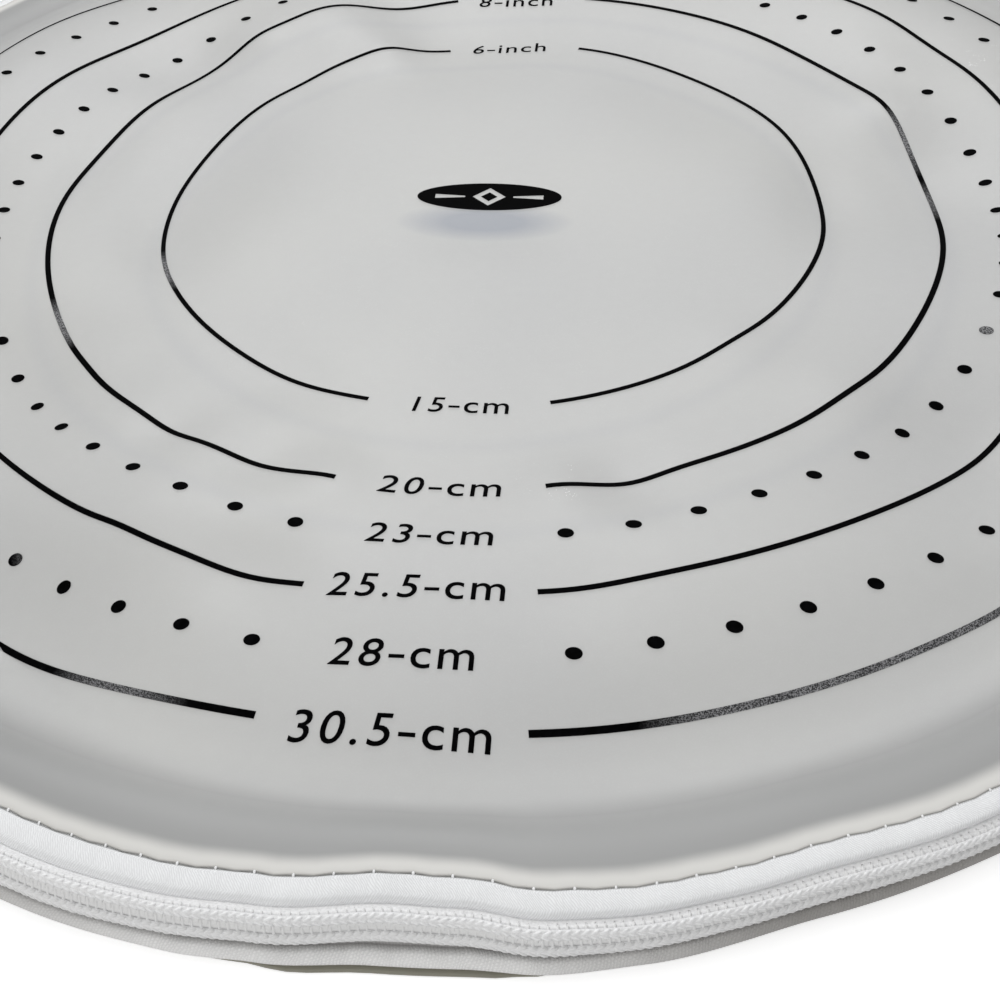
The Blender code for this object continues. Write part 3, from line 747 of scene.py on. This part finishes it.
def speck_group():
    """Small scattered grains, more of them near one place."""
    inputs = [
        ("Place", VECTOR, None), ("Middle", VECTOR, None), ("Reach", NUMBER, 0.02),
        ("Grain scale", NUMBER, 900.0), ("Fill", NUMBER, 0.42),
    ]
    tree, start, end = new_tree("Scattered grains", "ShaderNodeTree", inputs, [("Mask", NUMBER)])
    given = start.outputs
    grains = add_node(tree, "ShaderNodeTexVoronoi", {
        "Vector": given["Place"], "Scale": given["Grain scale"]})
    away = vector_math("DISTANCE", given["Place"], given["Middle"], out="Value")
    near = minus(1.0, math_node("DIVIDE", away, given["Reach"]))
    patchy = ramp(noise(given["Place"], 160.0), 0.42, 0.7)
    size = times(times(ramp(near, 0.0, 1.0), patchy), given["Fill"])
    mask = ramp(minus(size, grains.outputs["Distance"]), 0.0, 0.05)
    tree.links.new(mask, end.inputs["Mask"])
    return tree


def flour_mask(place, specks):
    """Grains of flour on the film, in thick patches and thinly all over."""
    floury = 0.0
    for middle, reach, scale, share in FLOUR:
        patch = node_on([place], "ShaderNodeGroup", {
            "Place": place, "Middle": middle, "Reach": reach, "Grain scale": scale, "Fill": 0.3},
            node_tree=specks)
        floury = larger(times(patch.outputs["Mask"], share), floury)
    return floury


def print_shadow(place):
    """The soft shadow of the print: a patch in front of the middle mark, and faintly beside two rings."""
    level = vector_math("MULTIPLY_ADD", place, (1, 1, 0), (0, 0.0115, 0))
    squeezed = vector_math("MULTIPLY", level, (1, 2.6, 0))
    dim = ramp(vector_math("LENGTH", squeezed, out="Value"), 0.0205, 0.009)
    reach = vector_math("LENGTH", level, out="Value")
    for radius in (SOLID_RINGS[0][0], SOLID_RINGS[1][0]):
        away = math_node("ABSOLUTE", minus(reach, radius * MM))
        dim = larger(dim, ramp(away, 0.0032, 0.0004, 0.0, 0.1))
    return times(dim, 0.68)


def film_material(name, specks, colour, shade, painted_bands, shaded=False):
    """Frosted film with its bands of painted light and shade along the edge, and with the print's painted
    shadow where it is shaded.
    """
    made, tree, shader = principled(name, Specular_IOR_Level=0.4, Sheen_Weight=0.08, Sheen_Roughness=0.5)
    place = object_place(tree)
    cloud = noise(place, 14.0, 3.0)
    fine = noise(place, 420.0, 4.0)
    dust = noise(place, 3600.0)
    tone = mixed(ramp(cloud, 0.3, 0.7), colour, shade)
    frost = plus(ramp(fine, 0.35, 0.75, 0.0, 0.06), ramp(dust, 0.5, 0.72, 0.0, 0.13))
    tone = mixed(frost, tone, (0.86, 0.86, 0.86))
    floury = flour_mask(place, specks)
    tone = mixed(floury, tone, (0.95, 0.95, 0.95))
    cover = larger(ramp(cloud, 0.3, 0.7, 0.485, 0.515), floury)
    if shaded:
        tone = mixed(print_shadow(place), tone, (0.34, 0.38, 0.46))
    edge = add_node(tree, "ShaderNodeAttribute", attribute_name="from_edge").outputs["Fac"]
    # Painted light and shade, band by band along the film's edge.
    for start, full, tint, share in painted_bands:
        near = ramp(edge, start, full, interpolation="SMOOTHSTEP")
        tone = mixed(times(near, share), tone, tint)
        cover = larger(cover, times(near, share * 0.93))
    tree.links.new(cover, shader.inputs["Alpha"])
    finish_surface(tree, shader, tone, ramp(cloud, 0.3, 0.7, 0.36, 0.46), fine, 0.12, 0.0001)
    return made


def ink_material():
    """Black ink, greyed in sparkles where the window's glare falls on it."""
    made, tree, shader = principled("printed_ink", Specular_IOR_Level=0.015)
    place = object_place(tree)
    fine = noise(place, 900.0, 3.0)
    sparkle = ramp(noise(place, 4200.0), 0.44, 0.6)
    glare = 0.0
    for bearing, radius, reach in GLARE:
        middle = in_space(np.array([bearing]), radius, GLARE_HEIGHT)[0].tolist()
        away = vector_math("DISTANCE", place, middle, out="Value")
        glare = larger(ramp(away, reach * MM, 0.35 * reach * MM), glare)
    glare = times(glare, math_node("MULTIPLY_ADD", sparkle, 0.7, 0.12))
    black = mixed(ramp(fine, 0.4, 0.8), (0.0004, 0.0004, 0.0005), (0.003, 0.003, 0.0035))
    tree.links.new(mixed(glare, black, (0.36, 0.36, 0.37)), shader.inputs["Base Color"])
    tree.links.new(ramp(fine, 0.3, 0.7, 0.6, 0.8), shader.inputs["Roughness"])
    return made


def cloth_material(name, weave, colour, shade, spacing, slant, length, depth, fold=None):
    """Woven cloth. A fold runs along the tape as painted shade, with where it starts, is deepest and ends,
    its colour, and the colour of the painted shade towards either side of the bag."""
    made, tree, shader = principled(name, Specular_IOR_Level=0.2, Sheen_Weight=0.25, Sheen_Roughness=0.4)
    cloth = add_node(tree, "ShaderNodeUVMap", uv_map="Cloth").outputs[0]
    ribs = add_node(tree, "ShaderNodeGroup", {
        "Place": cloth, "Rib spacing": spacing, "Slant": slant, "Float length": length,
        "Dive": 0.1 if fold else 0.45}, node_tree=weave).outputs
    place = object_place(tree)
    patchy = ramp(noise(place, 60.0, 3.0), 0.35, 0.7)
    dark = mixed(patchy, shade, tuple(0.93 * value for value in shade))
    tone = mixed(ribs["Shade"], dark, colour)
    if fold:
        start, deepest, end, tint, side_shade = fold
        # Painted shade: darker in the crease under the chain, and darker towards both sides of the bag.
        across = parts_of(cloth)[1]
        side = parts_of(place)[0]
        crease_shade = math_node("MINIMUM", ramp(across, start, deepest), ramp(across, end, deepest))
        wear_and_side_shade = larger(ramp(side, 0.02, 0.06, 0.0, 0.9), ramp(side, -0.03, -0.09))
        tone = mixed(times(wear_and_side_shade, 0.88), tone, side_shade)
        tone = mixed(times(crease_shade, 0.85), tone, tint)
    rough = ramp(ribs["Shade"], 0.0, 1.0, 0.92, 0.7)
    finish_surface(tree, shader, tone, rough, ribs["Height"], 0.8, depth)
    return made


def thread_material(name, colour, shade):
    """Spun thread, mottled where its plies turn."""
    made, tree, shader = principled(name, Specular_IOR_Level=0.3, Sheen_Weight=0.3)
    ply = noise(object_place(tree), 2600.0)
    tone = mixed(ramp(ply, 0.35, 0.65), shade, colour)
    finish_surface(tree, shader, tone, ramp(ply, 0.3, 0.7, 0.55, 0.75), ply, 0.5, 0.0001)
    return made


def nylon_material():
    """Milky nylon wire that lets a little light in."""
    made, tree, shader = principled(
        "nylon_monofilament", Specular_IOR_Level=0.5, Subsurface_Weight=0.15,
        Subsurface_Radius=(0.001, 0.001, 0.001), Subsurface_Scale=1.0)
    cloud = noise(object_place(tree), 700.0, 3.0)
    tone = mixed(ramp(cloud, 0.35, 0.7), (0.78, 0.78, 0.79), (0.88, 0.88, 0.88))
    finish_surface(tree, shader, tone, ramp(cloud, 0.3, 0.7, 0.28, 0.42), cloud, 0.2, 0.0001)
    return made


def metal_material():
    """Coated zinc, rubbed bare along its edges."""
    made, tree, shader = principled("coated_zinc", Specular_IOR_Level=0.5)
    place = object_place(tree)
    grain = noise(place, 1800.0, 4.0)
    cloud = noise(place, 260.0, 3.0)
    edges = add_node(tree, "ShaderNodeNewGeometry").outputs["Pointiness"]
    wear_and_side_shade = times(ramp(edges, 0.51, 0.56), ramp(cloud, 0.4, 0.6))
    coat = mixed(ramp(cloud, 0.3, 0.7), (0.70, 0.70, 0.71), (0.78, 0.78, 0.79))
    tone = mixed(wear_and_side_shade, coat, (0.55, 0.54, 0.52))
    tree.links.new(ramp(wear_and_side_shade, 0.0, 1.0, 0.75, 1.0), shader.inputs["Metallic"])
    finish_surface(tree, shader, tone, ramp(grain, 0.3, 0.7, 0.26, 0.42), grain, 0.15, 0.00005)
    return made


def make_finishes():
    """Every finish of the bag, by a short name."""
    weave, specks = weave_group(), speck_group()
    # The lower tape's painted shade: in its crease under the chain and towards both sides of the bag.
    low_fold_shade = (2.4, 3.9, 5.3, (0.12, 0.115, 0.11), (0.25, 0.235, 0.22))
    return {
        "film": film_material(
            "frosted_film", specks, (0.725, 0.725, 0.71), (0.685, 0.687, 0.685), TOP_LIGHT_AND_SHADE_BANDS, shaded=True),
        "under_film": film_material(
            "frosted_under_film", specks, (0.71, 0.71, 0.7), (0.66, 0.665, 0.66), UNDER_SHADE_BANDS),
        "ink": ink_material(),
        "tape": cloth_material(
            "twill_tape", weave, (0.9, 0.91, 0.92), (0.8, 0.805, 0.815), 0.4, -0.7, 1.6, 0.00006),
        "low_tape": cloth_material(
            "pebbled_tape", weave, (0.96, 0.955, 0.95), (0.86, 0.855, 0.85), 0.5, 0.35, 0.5, 0.0001,
            low_fold_shade),
        "cloth": cloth_material(
            "binding_cloth", weave, (0.84, 0.84, 0.84), (0.64, 0.64, 0.64), 0.5, 0.0, 0.6, 0.0001),
        "thread": thread_material("sewing_thread", (0.93, 0.935, 0.94), (0.86, 0.86, 0.87)),
        # The cords' thread is the sewing thread painted darker, as painted shade on the cords under and
        # beside the stitches.
        "shaded_core": thread_material("core_thread", (0.87, 0.87, 0.875), (0.76, 0.76, 0.765)),
        "nylon": nylon_material(),
        "metal": metal_material(),
    }


# The films and their print.


def make_film(name, radii, height, edge_wave, finish):
    """A round sheet over rings of points, each of which keeps how far it is from the edge."""
    bearings = np.arange(2 * SEAM_STITCHES) * 180 / SEAM_STITCHES
    count = len(bearings)
    shape = bmesh.new()
    from_edge = shape.verts.layers.float.new("from_edge")
    middle = shape.verts.new((0, 0, float(height(np.zeros(1), 0.0)[0]) * MM))
    middle[from_edge] = radii[-1]
    loops = []
    for radius in radii:
        ring = in_space(bearings, radius + edge_wave(bearings, radius), height(bearings, radius))
        loops.append([shape.verts.new(point) for point in ring])
        for vert in loops[-1]:
            vert[from_edge] = radii[-1] - radius
    for j in range(count):
        shape.faces.new((middle, loops[0][j], loops[0][(j + 1) % count]))
    for inner, outer in zip(loops, loops[1:]):
        for j in range(count):
            k = (j + 1) % count
            shape.faces.new((inner[j], outer[j], outer[k], inner[k]))
    mesh = bpy.data.meshes.new(name)
    shape.to_mesh(mesh)
    shape.free()
    mesh.shade_smooth()
    mesh.materials.append(finish)
    return add_wall(new_object(name, mesh), FILM_THICKNESS, -1)


def make_films(finish, under_finish):
    """The stretched top film and the flat one under it, with closer rings of points towards their edges."""
    radii = np.concatenate([
        np.arange(2, 150, 2.4), np.arange(150, 176, 1.6), [176.4, 177.3, 178.1, FILM_RADIUS]])
    under_radii = np.concatenate([np.arange(3, 186, 6.0), [186.5, 187.5, 188.2, UNDER_RADIUS]])
    top = make_film("top_film_sheet", radii, film_height, seam_wave, finish)
    under = make_film("bottom_film_sheet", under_radii, under_height, foot_wave, under_finish)
    return top, under


def printed(name, objects):
    """Joins pieces of print into one closed thin layer of ink."""
    meshes = taken(objects)
    return add_wall(new_object(name, joined(name, meshes, meshes[0].materials)), INK_DEPTH, -1)


def make_rings(film, ink, drape):
    """The four solid size rings."""
    tree = ring_tree(drape)
    lines = []
    for radius, width, right, left, back in SOLID_RINGS:
        lines.append(grow(
            "ring", bpy.data.meshes.new("ring"), tree, radius=radius * MM, line_width=width * MM,
            right_gap=math.radians(right), left_gap=math.radians(left), back_gap=math.radians(back),
            film=film, ink=ink))
    return printed("ring_lines", lines)


def make_dots(film, ink, drape):
    """The two dotted size rings."""
    places = []
    for radius, first, pitch, count in DOTTED_RINGS:
        for side in (1, -1):
            places.append(in_space(side * (first + pitch * np.arange(count)), radius, PRINT_PLANE))
    mesh = bpy.data.meshes.new("dots")
    mesh.from_pydata(np.concatenate(places).tolist(), [], [])
    dots = grow(
        "dots", mesh, dot_tree(drape), dot_radius=DOT_RADIUS * MM, dot_stretch=DOT_STRETCH,
        film=film, ink=ink)
    return printed("ring_dots", [dots])


def flat_mesh(curve):
    """An outline or lettering as a flat mesh."""
    drawn = new_object("outline", curve)
    mesh = evaluated_mesh(drawn)
    bpy.data.objects.remove(drawn, do_unlink=True)
    return mesh


def flat_outline(shapes):
    """A flat mesh from outlines in mm, the later ones cutting the earlier ones."""
    curve = bpy.data.curves.new("outline", "CURVE")
    curve.dimensions = "2D"
    curve.fill_mode = "BOTH"
    for outline in shapes:
        spline = curve.splines.new("POLY")
        spline.points.add(len(outline) - 1)
        for point, (x, y) in zip(spline.points, outline):
            point.co = (x * MM, y * MM, 0, 1)
        spline.use_cyclic_u = True
    return flat_mesh(curve)


def lettering(text, size, style, left, foot):
    """Flat lettering in a style, from its left end and its foot, and how far right it reaches."""
    scale, slant, spacing, width = style
    curve = bpy.data.curves.new("lettering", "FONT")
    curve.body = text
    curve.size = scale * size * MM
    curve.shear = slant
    curve.space_character = spacing
    curve.offset = LETTER_WEIGHT * MM
    curve.resolution_u = 5
    mesh = flat_mesh(curve)
    mesh.transform(Matrix.Translation((left * MM, foot * MM, 0)) @ Matrix.Diagonal((width, 1, 1, 1)))
    return mesh, max(vert.co.x for vert in mesh.vertices) / MM


def label_meshes(text, size, left, foot):
    """A label's figures, dash and unit from its left end and its foot, and how far it reaches."""
    number, unit = text.split("-")
    figures, reach = lettering(number, size, FIGURES, left, foot)
    start = reach + DASH_ROOM * size
    end = start + DASH_LENGTH * size
    low = foot + DASH_HEIGHT * size
    high = low + DASH_THICKNESS * size
    dash = flat_outline([[(start, low), (end, low), (end, high), (start, high)]])
    letters, reach = lettering(unit, size, UNIT, start + UNIT_START * size, foot)
    return (figures, dash, letters), reach


def make_labels(film, ink, drape):
    """Sizes in centimetres at the front, and in inches at the back, all read from the front."""
    tree = print_tree(drape)
    drawn = []
    for text, size, across, back in LABELS:
        foot = back - FOOT_DROP * size
        length = label_meshes(text, size, across, foot)[1] - across
        for flat in label_meshes(text, size, across - length / 2, foot)[0]:
            drawn.append(grow("label", flat, tree, cuts=2, film=film, ink=ink))
    return printed("ring_labels", drawn)


def oval(wide, deep, steps):
    """An oval outline about the centring mark's middle. With four steps it is a diamond."""
    x, y = MARK_MIDDLE
    turns = [2 * math.pi * i / steps for i in range(steps)]
    return [(x + wide * math.cos(turn), y + deep * math.sin(turn)) for turn in turns]


def make_centre_mark(film, ink, drape):
    """A plain centring mark: a filled oval in which a nested diamond and two tapered bars are left open."""
    shapes = [oval(*MARK_OVAL, 96)]
    for wide, deep in MARK_DIAMONDS:
        shapes.append(oval(wide, deep, 4))
    for side in (1, -1):
        shapes.append([(MARK_MIDDLE[0] + side * x, MARK_MIDDLE[1] + y) for x, y in MARK_BAR])
    mark = grow("mark", flat_outline(shapes), print_tree(drape), cuts=3, film=film, ink=ink)
    return printed("centre_mark", [mark])


# The cloth round the rim.


def path_points(corners, per_span):
    """A smooth path through points, as (radius, height) pairs."""
    points = [np.array(corner, float) for corner in corners]
    padded = [2 * points[0] - points[1]] + points + [2 * points[-1] - points[-2]]
    path = []
    for i in range(1, len(padded) - 2):
        a, b, c, d = padded[i - 1:i + 3]
        for k in range(per_span):
            t = k / per_span
            path.append(0.5 * (2 * b + (c - a) * t + (2 * a - 5 * b + 4 * c - d) * t ** 2
                               + (3 * b - 3 * c + d - a) * t ** 3))
    path.append(points[-1])
    return np.array(path)


def tape_edge(bearing):
    """How near the chain's middle line a tape comes: closer, except where the slider is parked."""
    return CLOSE_TAPE + (WIDE_TAPE - CLOSE_TAPE) * float(eased((abs(bearing) - PARK_START) / PARK_EASE))


def upper_path(bearing):
    """The upper tape from the film's seam over the edge to the chain."""
    rise = ripple(UPPER_RIPPLE, bearing)
    return path_points([
        (174.5, 9.75), (177.9, 9.75), (178.65, 9.82), (179.0, 10.02), (179.7, 10.0 + rise * 0.3),
        (180.7, 9.95 + rise), (181.75, 9.7 + rise * 0.5), chain_section(3.6, 0.12), chain_section(3.1, 0.1),
        chain_section(2.7), chain_section(tape_edge(bearing)),
    ], 3)


def lower_path(bearing):
    """The lower tape from the chain over its fold to the bottom film."""
    sag = ripple(LOWER_RIPPLE, bearing)
    return path_points([
        chain_section(-tape_edge(bearing)), chain_section(-2.6), chain_section(-3.0, -0.1),
        (185.55, 2.85), (186.15, 2.4 + sag * 0.5), (186.95, 2.5 + sag), (187.8, 2.1 + sag), (188.35, 1.35),
        (188.3, 0.95), (187.6, 0.72), (184.0, 0.72),
    ], 3)


def binding_path(bearing):
    """The binding from the film's seam over the closed rim to the bottom film."""
    return path_points([
        (174.5, 9.75), (177.2, 9.75), (179.2, 9.75), (181.9, 9.6), (183.6, 7.2), (184.6, 5.4), (185.6, 3.4),
        (187.2, 1.9), (187.9, 1.2), (187.3, 0.75), (184.0, 0.72),
    ], 4)


def tab_path(bearing):
    """An end tab, outside the tapes and the binding that it covers."""
    return path_points([
        (179.3, 10.55), (181.9, 10.45), (183.4, 9.0), (184.6, 6.9), (185.6, 5.0), (186.6, 3.3),
        (188.1, 2.3), (188.9, 1.3),
    ], 3)


def rim_strip(name, section, start, end, step, finish):
    """A strip of cloth along the rim. section gives its path across at each bearing."""
    bearings = np.linspace(start, end, max(2, round((end - start) / step) + 1))
    columns = []
    for bearing in bearings:
        path = section(bearing)
        reach = path[:, 0] + rim_wave(bearing, path[:, 1])
        columns.append(in_space(bearing, reach, path[:, 1]))
    across = np.concatenate([[0], np.cumsum(np.linalg.norm(np.diff(section(0.0), axis=0), axis=1))])
    mesh = grid_mesh(name, np.array(columns), (np.radians(bearings) * CHAIN_RADIUS, across))
    mesh.materials.append(finish)
    return add_wall(new_object(name, mesh), TAPE_THICKNESS, 0)


def make_tapes(tape, low_tape):
    """Both tapes, and the upper one's two ends that stay sewn down."""
    return [
        rim_strip("upper_tape_cloth", upper_path, -FLAP_END, FLAP_END, 0.5, tape),
        rim_strip("lower_tape_cloth", lower_path, -TAPE_END, TAPE_END, 0.5, low_tape),
        rim_strip("closed_end_cloth", upper_path, -TAPE_END, -END_START, 0.5, tape),
        rim_strip("open_end_cloth", upper_path, END_START, TAPE_END, 0.5, tape),
    ]


def make_binding(cloth):
    """The cloth hinge. It stops short of the pull tab at either end of the run, or it would fold into it."""
    return rim_strip("back_binding_cloth", binding_path, BINDING_END, 360 - BINDING_END, 0.4, cloth)


def make_tabs(cloth):
    """The end tabs, which reach from the tapes' ends to just past the binding's."""
    return [
        rim_strip("closed_end_tab_cloth", tab_path, -BINDING_END - 0.7, 0.6 - TAPE_END, 0.3, cloth),
        rim_strip("open_end_tab_cloth", tab_path, TAPE_END - 0.6, BINDING_END + 0.7, 0.3, cloth),
    ]


# The chain and the seam.


def tube_shape(name, path, radii, sides=5, flat=1.0):
    """A closed tube along a short path in mm, flatter one way where flat isn't 1."""
    shape = bmesh.new()
    rings = []
    for i, point in enumerate(path):
        here = Vector(point)
        ahead = Vector(path[min(i + 1, len(path) - 1)]) - Vector(path[max(i - 1, 0)])
        frame = ahead.to_track_quat("Z", "Y").to_matrix()
        ring = []
        for k in range(sides):
            turn = 2 * math.pi * k / sides
            offset = frame @ Vector((math.cos(turn) * radii[i] * flat, math.sin(turn) * radii[i], 0))
            ring.append(shape.verts.new((here + offset) * MM))
        rings.append(ring)
    for near, far in zip(rings, rings[1:]):
        for k in range(sides):
            shape.faces.new((near[k], near[(k + 1) % sides], far[(k + 1) % sides], far[k]))
    shape.faces.new(rings[0][::-1])
    shape.faces.new(rings[-1])
    bmesh.ops.recalc_face_normals(shape, faces=shape.faces)
    mesh = bpy.data.meshes.new(name)
    shape.to_mesh(mesh)
    shape.free()
    mesh.shade_smooth()
    return mesh


def copied_row(name, places, shapes, tree, finish, wander):
    """A small shape copied to every place, each copy a little larger or smaller."""
    pattern = one_piece("pattern", shapes)
    row = grow(name, places, tree, shape=pattern, finish=finish, size_wander=wander)
    bpy.data.objects.remove(pattern, do_unlink=True)
    return row


def coil_turn(side):
    """One turn of the coil about its row's middle, from under the head to under the outer bend."""
    # Along the rim, up and out of the chain, then the wire's radius.
    turn = [
        (0.08, 0.2, 0.9, 0.28), (0.02, -0.35, 0.95, 0.31), (0.0, -0.62, 1.25, 0.33),
        (0.0, -0.42, 1.55, 0.33), (0.02, 0.35, 1.66, 0.32), (0.04, 1.0, 1.85, 0.29),
        (0.08, 1.8, 1.9, 0.29), (0.12, 2.15, 1.75, 0.29), (0.16, 2.35, 1.4, 0.29), (0.2, 2.3, 0.85, 0.28),
    ]
    path = [(x, side * (y - ROW_MIDDLE), n) for x, y, n, radius in turn]
    return [tube_shape("coil_turn", path, [point[3] for point in turn])]


def chain_stitch(side):
    """Two strands that open from a point, as on a knitted chain, over one turn of the coil."""
    strands = []
    for spread in (1, -1):
        path = [
            (-0.85, side * (0.1 * spread - 0.1), 2.04), (-0.4, side * (0.24 * spread - 0.1), 2.14),
            (0.12, side * (0.47 * spread - 0.1), 2.14), (0.7, side * (0.66 * spread - 0.1), 2.0),
        ]
        strands.append(tube_shape("strand", path, [0.2, 0.29, 0.3, 0.22], 6))
    return strands


def make_row(spans, side, shapes, tree, finish, wander):
    """A row of small shapes at the coil's pitch. The two rows lie half a pitch apart."""
    pitch = math.degrees(COIL_PITCH / CHAIN_RADIUS)
    shift = 0.25 if side > 0 else 0.75
    bearings = np.concatenate([
        (np.arange(math.ceil(start / pitch - shift), math.floor(end / pitch - shift) + 1) + shift) * pitch
        for start, end in spans])
    places = place_mesh(*chain_frames(bearings, side * ROW_MIDDLE))
    return copied_row("row", places, shapes, tree, finish, wander)


def cord_mesh(start, end, side, middle, height, wide, deep):
    """One cord along a row: a closed tube of eight sides."""
    bearings = np.linspace(start, end, max(2, round(end - start) + 1))
    places, along, out = chain_frames(bearings, side * middle)
    up = np.cross(out, along)
    rings = []
    for k in range(8):
        turn = 2 * math.pi * k / 8
        offset = up * math.cos(turn) * wide + out * (height + math.sin(turn) * deep)
        rings.append(places + offset * MM)
    mesh = grid_mesh("cord", np.stack(rings, 1), (bearings, range(9)), loop_across=True)
    shape = bmesh.new()
    shape.from_mesh(mesh)
    bmesh.ops.holes_fill(shape, edges=shape.edges)
    bmesh.ops.recalc_face_normals(shape, faces=shape.faces)
    shape.to_mesh(mesh)
    shape.free()
    return mesh


def make_cords(spans, side, cords, finish):
    """The cords that run along one row of the coil."""
    meshes = [cord_mesh(start, end, side, *cord) for start, end in spans for cord in cords]
    meshes[0].materials.append(finish)
    return one_piece("cords", meshes)


def make_chain(nylon, thread, shaded_core):
    """The coil's turns, the chain stitches over them and the cords in them, in this order for each body.

    The upper row's two ends stay sewn down, so they belong to the base with the lower row.
    """
    tree = row_tree("Coil row")
    flap = [(-FLAP_END + 0.2, FLAP_END - 0.2)]
    ends = [(CHAIN_START, -END_START - 0.1), (END_START + 0.1, CHAIN_END)]
    whole = [(CHAIN_START, CHAIN_END)]
    pieces = {}
    bodies = (("top_flap", "upper", [(flap, 1)]), ("base", "base", [(whole, -1), (ends, 1)]))
    for body, label, rows in bodies:
        turns = [make_row(spans, side, coil_turn(side), tree, nylon, 0.02) for spans, side in rows]
        turns.append(make_cords(*rows[0], HEAD_WEB, nylon))
        stitches = [make_row(spans, side, chain_stitch(side), tree, thread, 0.08) for spans, side in rows]
        cords = [make_cords(spans, side, CORDS, shaded_core) for spans, side in rows]
        pieces[body] = [
            united(f"{label}_{kind}", made)
            for kind, made in (("coil_turns", turns), ("chain_stitches", stitches), ("coil_cord", cords))]
    return pieces


def seam_stitches(thread):
    """Stitches over the top film's edge, a few millimetres apart."""
    bearings = np.arange(SEAM_STITCHES) * 360 / SEAM_STITCHES
    turn = np.radians(bearings)
    outward = np.stack([np.sin(turn), -np.cos(turn), np.zeros(SEAM_STITCHES)], -1)
    upward = np.tile((0.0, 0.0, 1.0), (SEAM_STITCHES, 1))
    places = in_space(bearings, FILM_RADIUS + along_rim(SEAM_WAVE, bearings), STITCH_HEIGHT)
    path = [(-0.22, 0, -0.07), (-0.1, 0, -0.03), (0.04, 0, -0.04), (0.18, 0, -0.13), (0.34, 0, -0.28)]
    stitch = tube_shape("stitch", path, [0.04, 0.07, 0.09, 0.08, 0.05], 6, 2.5)
    return copied_row(
        "film_seam_stitches", place_mesh(places, outward, upward), [stitch], row_tree("Seam stitches"),
        thread, 0.12)


# The studio.


def make_floor():
    """A pale counter that still shows the bag's shadow."""
    mesh = bpy.data.meshes.new("counter")
    square = ((-1, -1), (1, -1), (1, 1), (-1, 1))
    corners = [(x * COUNTER_REACH, y * COUNTER_REACH, COUNTER_HEIGHT) for x, y in square]
    mesh.from_pydata(corners, [], [(0, 1, 2, 3)])
    floor = new_object("counter", mesh)
    made, tree, shader = principled(
        "pale_counter", Roughness=0.9, Specular_IOR_Level=0.1, Base_Color=(0.8, 0.8, 0.8, 1),
        Emission_Color=(1, 1, 1, 1))
    seen = add_node(tree, "ShaderNodeLightPath").outputs
    passed_on = larger(seen["Is Glossy Ray"], seen["Is Transmission Ray"])
    shown = larger(seen["Is Camera Ray"], passed_on)
    tree.links.new(times(shown, COUNTER_GLOW), shader.inputs["Emission Strength"])
    mesh.materials.append(made)


def make_world():
    """Even light from all round, seen by the camera as white."""
    world = bpy.data.worlds.new("studio")
    bpy.context.scene.world = world
    world.use_nodes = True
    tree = world.node_tree
    back = tree.nodes["Background"]
    back.inputs["Color"].default_value = (1, 1, 1, 1)
    seen = add_node(tree, "ShaderNodeLightPath").outputs["Is Camera Ray"]
    tree.links.new(ramp(seen, 0.0, 1.0, WORLD_LEVEL, 1.0), back.inputs["Strength"])


def make_lights():
    """Soft boxes that face the middle of the bag."""
    for name, (place, size, power, colour) in LAMPS.items():
        light = bpy.data.lights.new(name, "AREA")
        light.shape = "RECTANGLE"
        light.size, light.size_y = size
        light.energy = power
        light.color = colour
        lamp = new_object(name, light)
        lamp.location = place
        lamp.rotation_euler = (-Vector(place)).to_track_quat("-Z", "Y").to_euler()


def make_camera():
    """The camera at the photograph's place and angle."""
    data = bpy.data.cameras.new("photograph")
    data.sensor_width = SENSOR
    data.lens = LENS_SHARE * SENSOR
    data.shift_x, data.shift_y = SHIFT
    data.clip_start = 0.01
    camera = new_object("photograph", data)
    pitch, roll = math.radians(PITCH), math.radians(ROLL)
    ahead = Vector((0, math.cos(pitch), -math.sin(pitch)))
    level = Vector((1, 0, 0))
    above = level.cross(ahead)
    right = level * math.cos(roll) + above * math.sin(roll)
    up = above * math.cos(roll) - level * math.sin(roll)
    look = Matrix((right, up, -ahead)).transposed().to_4x4()
    camera.matrix_world = Matrix.Translation(STAND) @ Matrix.Rotation(math.radians(TURN), 4, "Z") @ look
    bpy.context.scene.camera = camera


def main():
    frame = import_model()
    finish = make_finishes()

    top, under = make_films(finish["film"], finish["under_film"])
    bpy.context.view_layer.update()
    drape = drape_group()
    makers = (make_rings, make_dots, make_labels, make_centre_mark)
    prints = [make(top, finish["ink"], drape) for make in makers]
    upper, lower, closed_end, open_end = make_tapes(finish["tape"], finish["low_tape"])
    chain = make_chain(finish["nylon"], finish["thread"], finish["shaded_core"])
    stitches = seam_stitches(finish["thread"])
    binding = make_binding(finish["cloth"])
    closed_tab, open_tab = make_tabs(finish["cloth"])

    for name in ("upper_top_stop", "lower_top_stop", "bottom_stop", "slider_body", "pull_tab"):
        for slot in frame["nodes"][name].material_slots:
            slot.material = finish["metal"]

    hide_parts("top_film")
    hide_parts("bottom_film")
    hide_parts("upper_zipper_tape")
    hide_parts("lower_zipper_tape")
    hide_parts("closed_end_tape")
    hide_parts("open_end_tape")
    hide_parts("upper_coil")
    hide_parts("lower_coil", "closed_end_coil", "open_end_coil")
    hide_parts("back_binding")
    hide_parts("closed_end_tab")
    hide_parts("open_end_tab")

    for piece in [top, upper, stitches] + prints + chain["top_flap"]:
        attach(piece, "top_flap")
    for piece in [under, lower, closed_end, open_end, closed_tab, open_tab] + chain["base"]:
        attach(piece, "base")
    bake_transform(binding)

    make_floor()
    make_world()
    make_lights()
    make_camera()
    bpy.context.scene.view_settings.view_transform = "Standard"


main()
